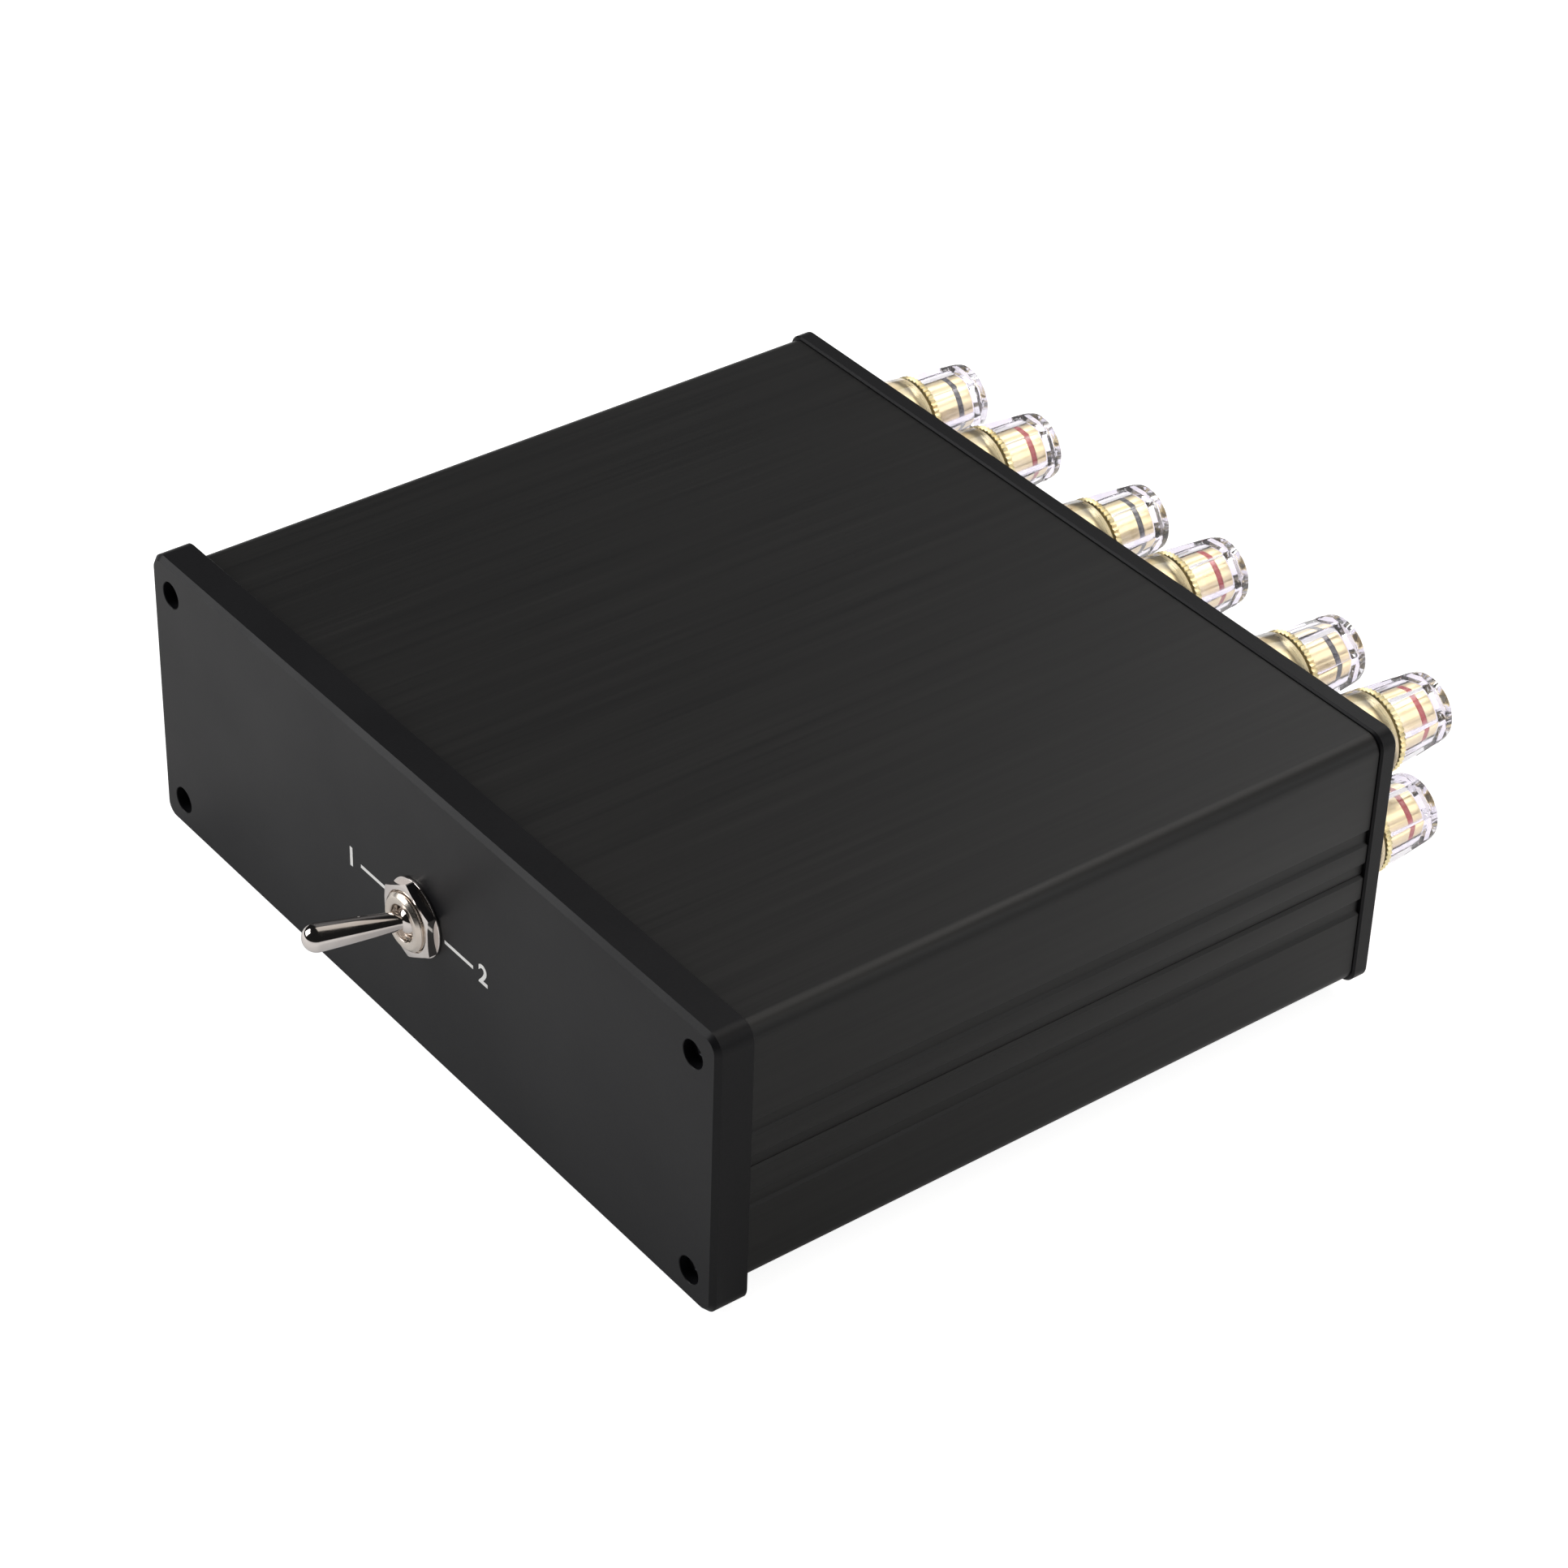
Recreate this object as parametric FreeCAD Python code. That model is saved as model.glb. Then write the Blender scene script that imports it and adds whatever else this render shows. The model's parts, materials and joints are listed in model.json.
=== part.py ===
"""Speaker selector switch: a toggle in a split aluminium case, with twelve binding posts behind.

Millimetres, X to the right seen from the front, Y from the front plate to the posts, Z up.
The rubber feet stand on Z 0, and the origin is under the middle of the whole switch.
"""
import FreeCAD, Part
import math
import os

V = FreeCAD.Vector
UP = V(0, 0, 1)
BACK = V(0, 1, 0)
FREE = V(0, 0, 0)

# Case, two extruded shells that meet at the middle slot
case_width = 179.6
case_height = 57.6
case_length = 146.8
case_wall = 2.5
edge_radius = 3.5
slot_height = 3.0
slot_depth = 0.6
upper_slot_rise = 5.2
seam_drop = 2.6
lower_slot_drop = 11.2
lip_thickness = 0.9
lip_height = 2.4
lip_clearance = 0.1

# Front plate, which stands out past the case all round
front_proud_x = 2.2
front_proud_z = 2.6
front_thickness = 7.8
front_chamfer = 1.0
front_sink = 5.0

# Rear plate
rear_proud = 0.6
rear_thickness = 3.8
rear_chamfer = 0.4
rear_sink = 2.2

# Plate screws and the screw channels that they bite into
screw_inset_x = 4.8
screw_inset_z = 4.3
screw_radius = 1.5
screw_length = 12.0
screw_head_radius = 2.75
screw_head_height = 3.0
key_flats = 2.5
key_depth = 1.5
channel_radius = 3.6
thread_clearance = 0.05
screw_clearance = 0.2

# Rubber feet
foot_height = 5.0
foot_radius = 6.5
foot_draft = 0.7
foot_inset_x = 17.0
foot_inset_y = 18.0

# Toggle bushing, nut and washer
bushing_radius = 5.95
bushing_proud = 1.2
bushing_end_round = 0.8
bushing_flange_radius = 7.4
bushing_flange = 1.0
panel_clearance = 0.15
nut_flats = 14.3
nut_thickness = 1.9
nut_turn = 31.0
nut_bevel_angle = 30.0
washer_radius = 8.1
washer_thickness = 0.55
mouth_radius = 3.7

# Toggle lever, turned about a cross pin in the bushing
pivot_reach = 0.6
lever_length = 18.58
lever_tip_radius = 2.82
lever_neck_radius = 1.9
lever_neck_reach = 3.0
lever_tilt = 17.0
ball_radius = 3.3
ball_clearance = 0.1
pin_radius = 0.9
pin_half_length = 4.9
pin_clearance = 0.05
tail_radius = 1.5
tail_reach = 15.0
swing_clearance = 0.4

# Toggle body
frame_thickness = 1.2
strap_thickness = 1.0
strap_width = 20.0
hook_reach = 3.5
housing_width = 31.0
housing_height = 37.0
housing_depth = 16.7
housing_wall = 3.0
housing_floor = 2.5
pole_count = 4
pole_spacing = 7.6
partition_thickness = 1.2
partition_height = 4.0
block_reach = 12.8
block_depth = 4.5
block_width = 8.0
block_margin = 2.8
plunger_radius = 1.5
plunger_reach = 19.0
plunger_length = 4.7
plunger_clearance = 0.05
spring_wall = 0.4
spring_length = 2.4

# Contact rockers and terminals
rocker_tilt = 8.0
rocker_rise = 18.0
rocker_half_length = 7.4
rocker_thickness = 0.8
rocker_width = 4.4
rocker_gap = 0.7
rocker_spine_radius = 0.35
contact_gap = 0.3
terminal_offset = 7.0
terminal_thickness = 0.8
terminal_width = 4.0
terminal_reach = 7.3
contact_half_width = 1.4
terminal_clearance = 0.05
lug_hole_radius = 0.8

# Binding posts, measured outwards from the rear plate's outer face
pair_spacing = 24.2
group_spacing = 58.3
group_count = 3
row_spacing = 24.2
collar_floor = 1.5
collar_length = 13.3
collar_root_radius = 9.9
collar_end_radius = 8.8
barrel_radius = 5.6
barrel_proud = 0.3
stud_radius = 3.0
socket_radius = 2.0
socket_length = 20.0
stud_reach = 24.0
stud_tail = 13.0
wire_hole_radius = 1.5
wire_hole_margin = 0.3
fit_clearance = 0.05

# Binding post knobs
knob_gap = 0.4
knurl_radius = 8.7
knurl_depth = 0.35
knurl_length = 1.4
knurl_teeth = 48
core_radius = 5.2
core_reach = 26.0
core_clearance = 0.3
core_end_wall = 1.4
plug_radius = 2.5
band_reach = 22.0
band_width = 1.3
band_depth = 0.5
band_clearance = 0.05
shell_flats = 14.6
shell_root_radius = 8.75
shell_shoulder_radius = 7.9
shell_shoulder_reach = 27.2
shell_reach = 29.2
shell_end_radius = 7.25
shell_clearance = 0.05
# How far each knob happens to be turned, left to right along the upper row, then the lower
knob_turns = [27, 30, 33, 38, 53, 46, 12, 41, 24, 7, 35, 51]

# Fastening of the posts inside the rear plate
post_hole_radius = 4.5
spigot_clearance = 0.1
spigot_end_gap = 0.3
insulator_radius = 7.0
insulator_thickness = 1.5
tag_thickness = 0.8
tag_radius = 5.0
tag_width = 3.4
tag_reach = 9.4
tag_hole_reach = 7.3
post_nut_flats = 10.0
post_nut_thickness = 3.0

# Hook-up wires
wire_radius = 1.25
wire_post_run = 32.0
wire_switch_run = 30.0
wire_arc_share = 0.45

# Heights
case_middle = foot_height + case_height / 2
seam_height = case_middle - seam_drop

# Places along Y, from the front plate's face backwards
lever_reach = pivot_reach + lever_length * math.cos(math.radians(lever_tilt)) + lever_tip_radius
rear_plate_back = front_thickness + case_length + rear_thickness
front_y = (lever_reach - rear_plate_back - shell_reach) / 2
case_front = front_y + front_thickness
case_back = case_front + case_length
panel_y = case_back + rear_thickness
pivot_y = front_y - pivot_reach
frame_back = case_front + frame_thickness
housing_back = frame_back + housing_depth

# Rocker pivots lie behind the plunger tips
rocker_pivot_reach = plunger_reach + plunger_radius + rocker_gap + rocker_thickness
rocker_y = pivot_y + rocker_pivot_reach
pole_heights = [case_middle + (i - (pole_count - 1) / 2) * pole_spacing for i in range(pole_count)]


def slab(x0, x1, y0, y1, z0, z1):
    """Box between two corners."""
    return Part.makeBox(x1 - x0, y1 - y0, z1 - z0, V(x0, y0, z0))


def turned(profile, x, y, z):
    """Body turned about a line along Y through x, y, z, from (radius, distance along Y) points."""
    points = [V(radius, along, 0) for radius, along in profile]
    face = Part.Face(Part.makePolygon(points + points[:1]))
    body = face.revolve(FREE, BACK, 360)
    body.translate(V(x, y, z))
    return body


def rod(radius, x, y0, y1, z):
    """Plain cylinder along Y."""
    return Part.makeCylinder(radius, y1 - y0, V(x, y0, z), BACK)


def prism(outline, x, y0, y1, z):
    """Straight bar along Y whose section is a list of (x, z) points."""
    points = [V(x + px, y0, z + pz) for px, pz in outline]
    face = Part.Face(Part.makePolygon(points + points[:1]))
    return face.extrude(V(0, y1 - y0, 0))


def polygon(sides, radius, turn):
    """Corners of a regular polygon, as (x, z) points."""
    angles = [math.radians(turn + 360 * i / sides) for i in range(sides)]
    return [(radius * math.cos(a), radius * math.sin(a)) for a in angles]


def hexagon(flats, turn):
    """Hexagon with a corner at the turn."""
    return polygon(6, flats / math.sqrt(3), turn)


def hexagon_facing(flats, turn):
    """Hexagon with the middle of a flat at the turn."""
    return hexagon(flats, turn + 180 / 6)


def rounded_bar(width, height, y0, y1):
    """Bar along Y about the case's middle, with its four long edges rounded."""
    bar = slab(-width / 2, width / 2, y0, y1, case_middle - height / 2, case_middle + height / 2)
    long_edges = [e for e in bar.Edges if e.BoundBox.YLength > (y1 - y0) / 2]
    return bar.makeFillet(edge_radius, long_edges)


def rim_edges(shape, y):
    """Edges that lie in the plane at y."""
    return [e for e in shape.Edges if e.BoundBox.YLength < 0.01 and abs(e.BoundBox.YMin - y) < 0.01]


def fused(shapes):
    body = shapes[0].multiFuse(shapes[1:]) if len(shapes) > 1 else shapes[0]
    return body.removeSplitter()


def screw_places():
    reach_x = case_width / 2 - screw_inset_x
    reach_z = case_height / 2 - screw_inset_z
    return [(sx * reach_x, case_middle + sz * reach_z) for sz in (1, -1) for sx in (-1, 1)]


def post_places():
    """Centres of the posts as (x, z), left to right along the upper row, then the lower."""
    places = []
    for side in (1, -1):
        for group in range(group_count):
            for column in (-1, 1):
                x = (group - (group_count - 1) / 2) * group_spacing + column * pair_spacing / 2
                places.append((x, case_middle + side * row_spacing / 2))
    return places


# Case and plates

def front_plate():
    width = case_width + 2 * front_proud_x
    height = case_height + 2 * front_proud_z
    plate = rounded_bar(width, height, front_y, case_front)
    plate = plate.makeChamfer(front_chamfer, rim_edges(plate, front_y))
    holes = [rod(bushing_radius + panel_clearance, 0, front_y, case_front, case_middle)]
    for x, z in screw_places():
        holes.append(rod(screw_head_radius + thread_clearance, x, front_y, front_y + front_sink, z))
        holes.append(rod(screw_radius + screw_clearance, x, front_y, case_front, z))
    return plate.cut(holes)


def rear_plate():
    width = case_width + 2 * rear_proud
    height = case_height + 2 * rear_proud
    plate = rounded_bar(width, height, case_back, panel_y)
    plate = plate.makeChamfer(rear_chamfer, rim_edges(plate, case_back) + rim_edges(plate, panel_y))
    holes = [rod(post_hole_radius, x, case_back, panel_y, z) for x, z in post_places()]
    for x, z in screw_places():
        holes.append(rod(screw_head_radius + thread_clearance, x, panel_y - rear_sink, panel_y, z))
        holes.append(rod(screw_radius + screw_clearance, x, case_back, panel_y, z))
    return plate.cut(holes)


def case_shell():
    """Whole case section with its screw channels, before it is parted at the seam."""
    outer = rounded_bar(case_width, case_height, case_front, case_back)
    inside_x = case_width / 2 - case_wall
    inside_z = case_height / 2 - case_wall
    inner = slab(-inside_x, inside_x, case_front, case_back, case_middle - inside_z, case_middle + inside_z)
    channels = [rod(channel_radius, x, case_front, case_back, z) for x, z in screw_places()]
    bores = [rod(screw_radius + thread_clearance, x, case_front, case_back, z) for x, z in screw_places()]
    return outer.cut(inner).fuse(channels).common(outer).cut(bores)


def side_slots(ledge):
    """Shallow slots along both sides, whose lower edges lie at the height of the ledge."""
    face = case_width / 2
    return [slab(face - slot_depth, face, case_front, case_back, ledge, ledge + slot_height),
            slab(-face, slot_depth - face, case_front, case_back, ledge, ledge + slot_height)]


def lip_bars(thickness, height):
    """Two strips that stand on the seam just outside the inner faces of the side walls."""
    inside = case_width / 2 - case_wall
    return [slab(inside, inside + thickness, case_front, case_back, seam_height, seam_height + height),
            slab(-inside - thickness, -inside, case_front, case_back, seam_height, seam_height + height)]


def upper_case():
    above = slab(-case_width, case_width, case_front, case_back, seam_height, seam_height + case_height)
    rebates = lip_bars(lip_thickness + lip_clearance, lip_height + lip_clearance)
    slots = side_slots(seam_height) + side_slots(case_middle + upper_slot_rise)
    return case_shell().common(above).cut(rebates + slots)


def lower_case():
    below = slab(-case_width, case_width, case_front, case_back, seam_height - case_height, seam_height)
    half = case_shell().common(below).cut(side_slots(case_middle - lower_slot_drop))
    return fused([half] + lip_bars(lip_thickness, lip_height))


def cap_screw(x, seat_y, z, direction):
    """Socket head screw whose head sits at seat_y and whose shank runs along the direction."""
    way = V(0, direction, 0)
    head = Part.makeCylinder(screw_head_radius, screw_head_height, V(x, seat_y, z), -way)
    shank = Part.makeCylinder(screw_radius, screw_length, V(x, seat_y, z), way)
    top = seat_y - direction * screw_head_height
    key_end = top + direction * key_depth
    key = prism(hexagon(key_flats, 0), x, min(top, key_end), max(top, key_end), z)
    return fused([head, shank]).cut(key)


def panel_screws():
    front = [cap_screw(x, front_y + front_sink, z, 1) for x, z in screw_places()]
    rear = [cap_screw(x, panel_y - rear_sink, z, -1) for x, z in screw_places()]
    return Part.makeCompound(front + rear)


def foot_places():
    half = case_width / 2 - foot_inset_x
    return [(x, y) for y in (case_front + foot_inset_y, case_back - foot_inset_y) for x in (-half, half)]


def rubber_feet():
    feet = [Part.makeCone(foot_radius - foot_draft, foot_radius, foot_height, V(x, y, 0), UP)
            for x, y in foot_places()]
    return Part.makeCompound(feet)


# Toggle switch

def about_pivot(shape):
    """Tip a piece of the lever, drawn straight ahead about the origin, to the side where it rests."""
    shape.rotate(FREE, UP, -lever_tilt)
    shape.translate(V(0, pivot_y, case_middle))
    return shape


def switch_bushing():
    front = front_y - washer_thickness - nut_thickness - bushing_proud
    bore = ball_radius + ball_clearance
    swing = tail_reach - pivot_reach
    tail_space = tail_radius / math.cos(math.radians(lever_tilt)) + swing_clearance
    slope = math.tan(math.radians(lever_tilt))
    back = frame_back + bushing_flange
    throat = pivot_y + ball_radius
    profile = [(mouth_radius, front), (bushing_radius - bushing_end_round, front),
               (bushing_radius, front + bushing_end_round), (bushing_radius, frame_back),
               (bushing_flange_radius, frame_back), (bushing_flange_radius, back),
               ((back - pivot_y) * slope + tail_space, back), (bore, throat),
               (bore, front + bushing_proud), (mouth_radius, front + bushing_end_round)]
    sleeve = turned(profile, 0, 0, case_middle)
    hole_half = pin_half_length + pin_clearance
    hole = Part.makeCylinder(pin_radius + pin_clearance, 2 * hole_half,
                             V(0, pivot_y, case_middle - hole_half), UP)
    return sleeve.cut(hole)


def switch_nut():
    back = front_y - washer_thickness
    corner = nut_flats / math.sqrt(3)
    bevel = (corner - nut_flats / 2) * math.tan(math.radians(nut_bevel_angle))
    blank = prism(hexagon(nut_flats, nut_turn), 0, back - nut_thickness, back, case_middle)
    round_off = turned([(0, -nut_thickness), (nut_flats / 2, -nut_thickness), (corner, bevel - nut_thickness),
                        (corner, 0), (0, 0)], 0, back, case_middle)
    bore = rod(bushing_radius + fit_clearance, 0, back - nut_thickness, back, case_middle)
    return blank.common(round_off).cut(bore)


def switch_washer():
    ring = rod(washer_radius, 0, front_y - washer_thickness, front_y, case_middle)
    bore = rod(bushing_radius + fit_clearance, 0, front_y - washer_thickness, front_y, case_middle)
    return ring.cut(bore)


def switch_frame():
    half_width = housing_width / 2 + strap_thickness
    half_height = housing_height / 2
    strap_back = housing_back + strap_thickness
    shapes = [slab(-half_width, half_width, case_front, frame_back,
                   case_middle - half_height, case_middle + half_height)]
    low = case_middle - strap_width / 2
    high = case_middle + strap_width / 2
    for side in (-1, 1):
        outside = side * half_width
        inside = side * housing_width / 2
        hook = side * (housing_width / 2 - hook_reach)
        shapes.append(slab(min(outside, inside), max(outside, inside), frame_back, strap_back, low, high))
        shapes.append(slab(min(hook, outside), max(hook, outside), housing_back, strap_back, low, high))
    bore = rod(bushing_radius + fit_clearance, 0, case_front, frame_back, case_middle)
    return fused(shapes).cut(bore)


def terminal_blade(x, z, front, spare):
    """Flat blade from its contact end out through the housing's floor, with room to spare around it."""
    half_x = terminal_thickness / 2 + spare
    half_z = terminal_width / 2 + spare
    return slab(x - half_x, x + half_x, front, housing_back + terminal_reach, z - half_z, z + half_z)


def contact_front():
    """Where an outer contact meets the underside of a rocker's pressed end."""
    lean = math.radians(rocker_tilt - rocker_rise)
    apex = rocker_y - rocker_thickness * math.cos(math.radians(rocker_tilt))
    underside = apex + rocker_thickness / math.cos(lean)
    return underside + (terminal_offset - contact_half_width) * math.tan(lean) + contact_gap


def saddle_front():
    """Where the middle contact carries the rocker, just behind its round spine."""
    return rocker_y + rocker_spine_radius + contact_gap


def switch_terminals():
    blades = []
    for z in pole_heights:
        for column in (-1, 0, 1):
            x = column * terminal_offset
            front = contact_front() if column else saddle_front()
            blade = terminal_blade(x, z, front, 0)
            pad = slab(x - contact_half_width, x + contact_half_width, front, front + terminal_thickness,
                       z - terminal_width / 2, z + terminal_width / 2)
            hole = Part.makeCylinder(lug_hole_radius, terminal_thickness * 2,
                                     V(x - terminal_thickness, housing_back + terminal_reach / 2, z), V(1, 0, 0))
            blades.append(fused([blade, pad]).cut(hole))
    return Part.makeCompound(blades)


def switch_housing():
    half_width = housing_width / 2
    half_height = housing_height / 2
    floor_front = housing_back - housing_floor
    block = slab(-half_width, half_width, frame_back, housing_back,
                 case_middle - half_height, case_middle + half_height)
    well = slab(housing_wall - half_width, half_width - housing_wall, frame_back, floor_front,
                case_middle - half_height + housing_wall, case_middle + half_height - housing_wall)
    shapes = [block.cut(well)]
    for i in range(pole_count - 1):
        z = (pole_heights[i] + pole_heights[i + 1]) / 2
        shapes.append(slab(housing_wall - half_width, half_width - housing_wall,
                           floor_front - partition_height, floor_front,
                           z - partition_thickness / 2, z + partition_thickness / 2))
    slots = [terminal_blade(column * terminal_offset, z, floor_front, terminal_clearance)
             for z in pole_heights for column in (-1, 0, 1)]
    return fused(shapes).cut(slots)


def switch_lever():
    bat = turned([(0, -lever_length), (lever_tip_radius, -lever_length),
                  (lever_neck_radius, -lever_neck_reach), (lever_neck_radius, 0), (0, 0)], 0, 0, 0)
    tip = Part.makeSphere(lever_tip_radius, V(0, -lever_length, 0))
    ball = Part.makeSphere(ball_radius, FREE)
    tail = rod(tail_radius, 0, 0, tail_reach, 0)
    pin = Part.makeCylinder(pin_radius, 2 * pin_half_length, V(0, 0, -pin_half_length), UP)
    return about_pivot(fused([bat, tip, ball, tail, pin]))


def plunger_heights():
    return [z - case_middle for z in pole_heights]


def drive_block():
    reach = block_reach + block_depth
    half_height = (pole_count - 1) / 2 * pole_spacing + block_margin
    block = slab(-block_width / 2, block_width / 2, block_reach, reach, -half_height, half_height)
    plunger_root = plunger_reach + plunger_radius - plunger_length
    bores = [rod(tail_radius + fit_clearance, 0, block_reach, tail_reach, 0)]
    bores += [rod(plunger_radius + plunger_clearance, 0, plunger_root - spring_length, reach, z)
              for z in plunger_heights()]
    return about_pivot(block.cut(bores))


def switch_plungers():
    root = plunger_reach + plunger_radius - plunger_length
    plungers = []
    for z in plunger_heights():
        stem = rod(plunger_radius, 0, root, plunger_reach, z)
        nose = Part.makeSphere(plunger_radius, V(0, plunger_reach, z))
        plungers.append(about_pivot(fused([stem, nose])))
    return Part.makeCompound(plungers)


def plunger_springs():
    root = plunger_reach + plunger_radius - plunger_length
    springs = []
    for z in plunger_heights():
        outer = rod(plunger_radius, 0, root - spring_length, root, z)
        inner = rod(plunger_radius - spring_wall, 0, root - spring_length, root, z)
        springs.append(about_pivot(outer.cut(inner)))
    return Part.makeCompound(springs)


def contact_rockers():
    """Shallow V-shaped bridges on round spines, each tipped towards the contact that its plunger holds it on."""
    rise = math.radians(rocker_rise)
    end = rocker_half_length
    lift = end * math.tan(rise)
    back = rocker_thickness / math.cos(rise)
    outline = [(0, -rocker_thickness), (end, -rocker_thickness - lift), (end, back - rocker_thickness - lift),
               (0, back - rocker_thickness), (-end, back - rocker_thickness - lift),
               (-end, -rocker_thickness - lift)]
    rockers = []
    for z in pole_heights:
        points = [V(x, y, -rocker_width / 2) for x, y in outline]
        bridge = Part.Face(Part.makePolygon(points + points[:1])).extrude(V(0, 0, rocker_width))
        spine = Part.makeCylinder(rocker_spine_radius, rocker_width, V(0, 0, -rocker_width / 2), UP)
        rocker = fused([bridge, spine])
        rocker.rotate(FREE, UP, rocker_tilt)
        rocker.translate(V(0, rocker_y, z))
        rockers.append(rocker)
    return Part.makeCompound(rockers)


# Binding posts

def post_studs():
    front = barrel_front()
    profile = [(0, -stud_tail), (stud_radius, -stud_tail), (stud_radius, collar_floor),
               (barrel_radius, collar_floor), (barrel_radius, front), (stud_radius, front),
               (stud_radius, stud_reach), (socket_radius, stud_reach),
               (socket_radius, stud_reach - socket_length), (0, stud_reach - socket_length)]
    hole_y = panel_y + front + wire_hole_margin + wire_hole_radius
    studs = []
    for x, z in post_places():
        hole = Part.makeCylinder(wire_hole_radius, 2 * stud_radius, V(x, hole_y, z - stud_radius), UP)
        studs.append(turned(profile, x, panel_y, z).cut(hole))
    return Part.makeCompound(studs)


def barrel_front():
    return collar_length + barrel_proud


def post_base_collars():
    bore = barrel_radius + fit_clearance
    hole = stud_radius + fit_clearance
    profile = [(hole, 0), (collar_root_radius, 0), (collar_end_radius, collar_length), (bore, collar_length),
               (bore, collar_floor), (hole, collar_floor)]
    return Part.makeCompound([turned(profile, x, panel_y, z) for x, z in post_places()])


def insulator_back():
    return rear_thickness + insulator_thickness


def post_insulators():
    hole = stud_radius + fit_clearance
    spigot = post_hole_radius - spigot_clearance
    profile = [(hole, -insulator_back()), (insulator_radius, -insulator_back()),
               (insulator_radius, -rear_thickness), (spigot, -rear_thickness),
               (spigot, -spigot_end_gap), (hole, -spigot_end_gap)]
    return Part.makeCompound([turned(profile, x, panel_y, z) for x, z in post_places()])


def inward(z):
    """Plus or minus one, from a row of posts towards the middle of the case."""
    return 1 if z < case_middle else -1


def solder_tags():
    front = panel_y - insulator_back()
    back = front - tag_thickness
    tags = []
    for x, z in post_places():
        way = inward(z)
        ring = rod(tag_radius, x, back, front, z)
        blade = slab(x - tag_width / 2, x + tag_width / 2, back, front,
                     min(z, z + way * tag_reach), max(z, z + way * tag_reach))
        holes = [rod(stud_radius + fit_clearance, x, back, front, z),
                 rod(lug_hole_radius, x, back, front, z + way * tag_hole_reach)]
        tags.append(fused([ring, blade]).cut(holes))
    return Part.makeCompound(tags)


def post_nuts():
    front = panel_y - insulator_back() - tag_thickness
    back = front - post_nut_thickness
    nuts = []
    for x, z in post_places():
        blank = prism(hexagon(post_nut_flats, 0), x, back, front, z)
        nuts.append(blank.cut(rod(stud_radius + fit_clearance, x, back, front, z)))
    return Part.makeCompound(nuts)


def knob_root():
    return barrel_front() + knob_gap


def post_core(x, z, turn):
    """Gold knob body: a knurled clamping flange and a barrel with a groove for the colour band."""
    root = knob_root()
    shoulder = root + knurl_length
    bore = stud_radius + core_clearance
    groove_front = band_reach - band_clearance
    groove_back = band_reach + band_width + band_clearance
    groove = core_radius - band_depth
    profile = [(bore, root), (knurl_radius - knurl_depth, root), (knurl_radius - knurl_depth, shoulder),
               (core_radius, shoulder), (core_radius, groove_front), (groove, groove_front),
               (groove, groove_back), (core_radius, groove_back), (core_radius, core_reach),
               (plug_radius, core_reach), (plug_radius, core_reach - core_end_wall),
               (bore, core_reach - core_end_wall)]
    tips = polygon(knurl_teeth, knurl_radius, turn)
    valleys = polygon(knurl_teeth, knurl_radius - knurl_depth, turn + 180 / knurl_teeth)
    outline = [point for pair in zip(tips, valleys) for point in pair]
    knurl = prism(outline, x, panel_y + root, panel_y + shoulder, z)
    knurl = knurl.cut(rod(core_radius, x, panel_y + root, panel_y + shoulder, z))
    return turned(profile, x, panel_y, z).fuse(knurl).removeSplitter()


def post_band(x, z):
    inner = core_radius - band_depth + band_clearance
    profile = [(inner, band_reach), (core_radius, band_reach), (core_radius, band_reach + band_width),
               (inner, band_reach + band_width)]
    return turned(profile, x, panel_y, z)


def post_shell(x, z, turn):
    """Clear grip, six flats on a slight cone, closed over the end of the knob body."""
    root = knob_root() + knurl_length
    bore = core_radius + shell_clearance
    profile = [(bore, root), (shell_root_radius, root), (shell_shoulder_radius, shell_shoulder_reach),
               (shell_end_radius, shell_reach), (plug_radius, shell_reach),
               (plug_radius, core_reach + shell_clearance), (bore, core_reach + shell_clearance)]
    cone = turned(profile, x, panel_y, z)
    flats = prism(hexagon_facing(shell_flats, turn), x, panel_y + root, panel_y + shell_reach, z)
    return cone.common(flats)


# Hook-up wires

def rounded_route(points, radius_of_wire):
    """Round wire along straight runs joined by arcs as wide as the shorter run beside each corner allows."""
    edges = []
    start = points[0]
    for before, corner, after in zip(points, points[1:], points[2:]):
        first = (corner - before).normalize()
        second = (after - corner).normalize()
        half_turn = first.getAngle(second) / 2
        shorter = min((corner - before).Length, (after - corner).Length)
        setback = wire_arc_share * shorter
        radius = setback / math.tan(half_turn)
        arc_start = corner - first * setback
        arc_end = corner + second * setback
        middle_way = (second - first).normalize()
        middle = corner + middle_way * (radius / math.cos(half_turn) - radius)
        edges.append(Part.LineSegment(start, arc_start).toShape())
        edges.append(Part.Arc(arc_start, middle, arc_end).toShape())
        start = arc_end
        print("wire arc radius", round(radius, 1))
    edges.append(Part.LineSegment(start, points[-1]).toShape())
    route = Part.Wire(edges)
    first = points[1] - points[0]
    ring = Part.Wire(Part.makeCircle(radius_of_wire, points[0], first))
    wire = route.makePipeShell([ring], True, False)
    share = wire.Volume / (math.pi * radius_of_wire ** 2 * route.Length)
    print("wire volume against section times length", round(share, 4))
    return wire


def wire_route(index):
    """Points from a post's solder tag to the lug of its pole on the switch."""
    x, z = post_places()[index]
    column = index % (2 * group_count)
    group = column // 2
    side = 1 if z > case_middle else -1
    outer_pole = column % 2 == (1 if group == group_count - 1 else 0)
    pole = case_middle + side * pole_spacing * (1.5 if outer_pole else 0.5)
    start_y = panel_y - insulator_back() - tag_thickness
    start_z = z + inward(z) * tag_hole_reach
    end_x = (group - (group_count - 1) / 2) * terminal_offset
    end_y = housing_back + terminal_reach
    return [V(x, start_y, start_z), V(x, start_y - wire_post_run, start_z),
            V(end_x, end_y + wire_switch_run, pole), V(end_x, end_y, pole)]


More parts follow.
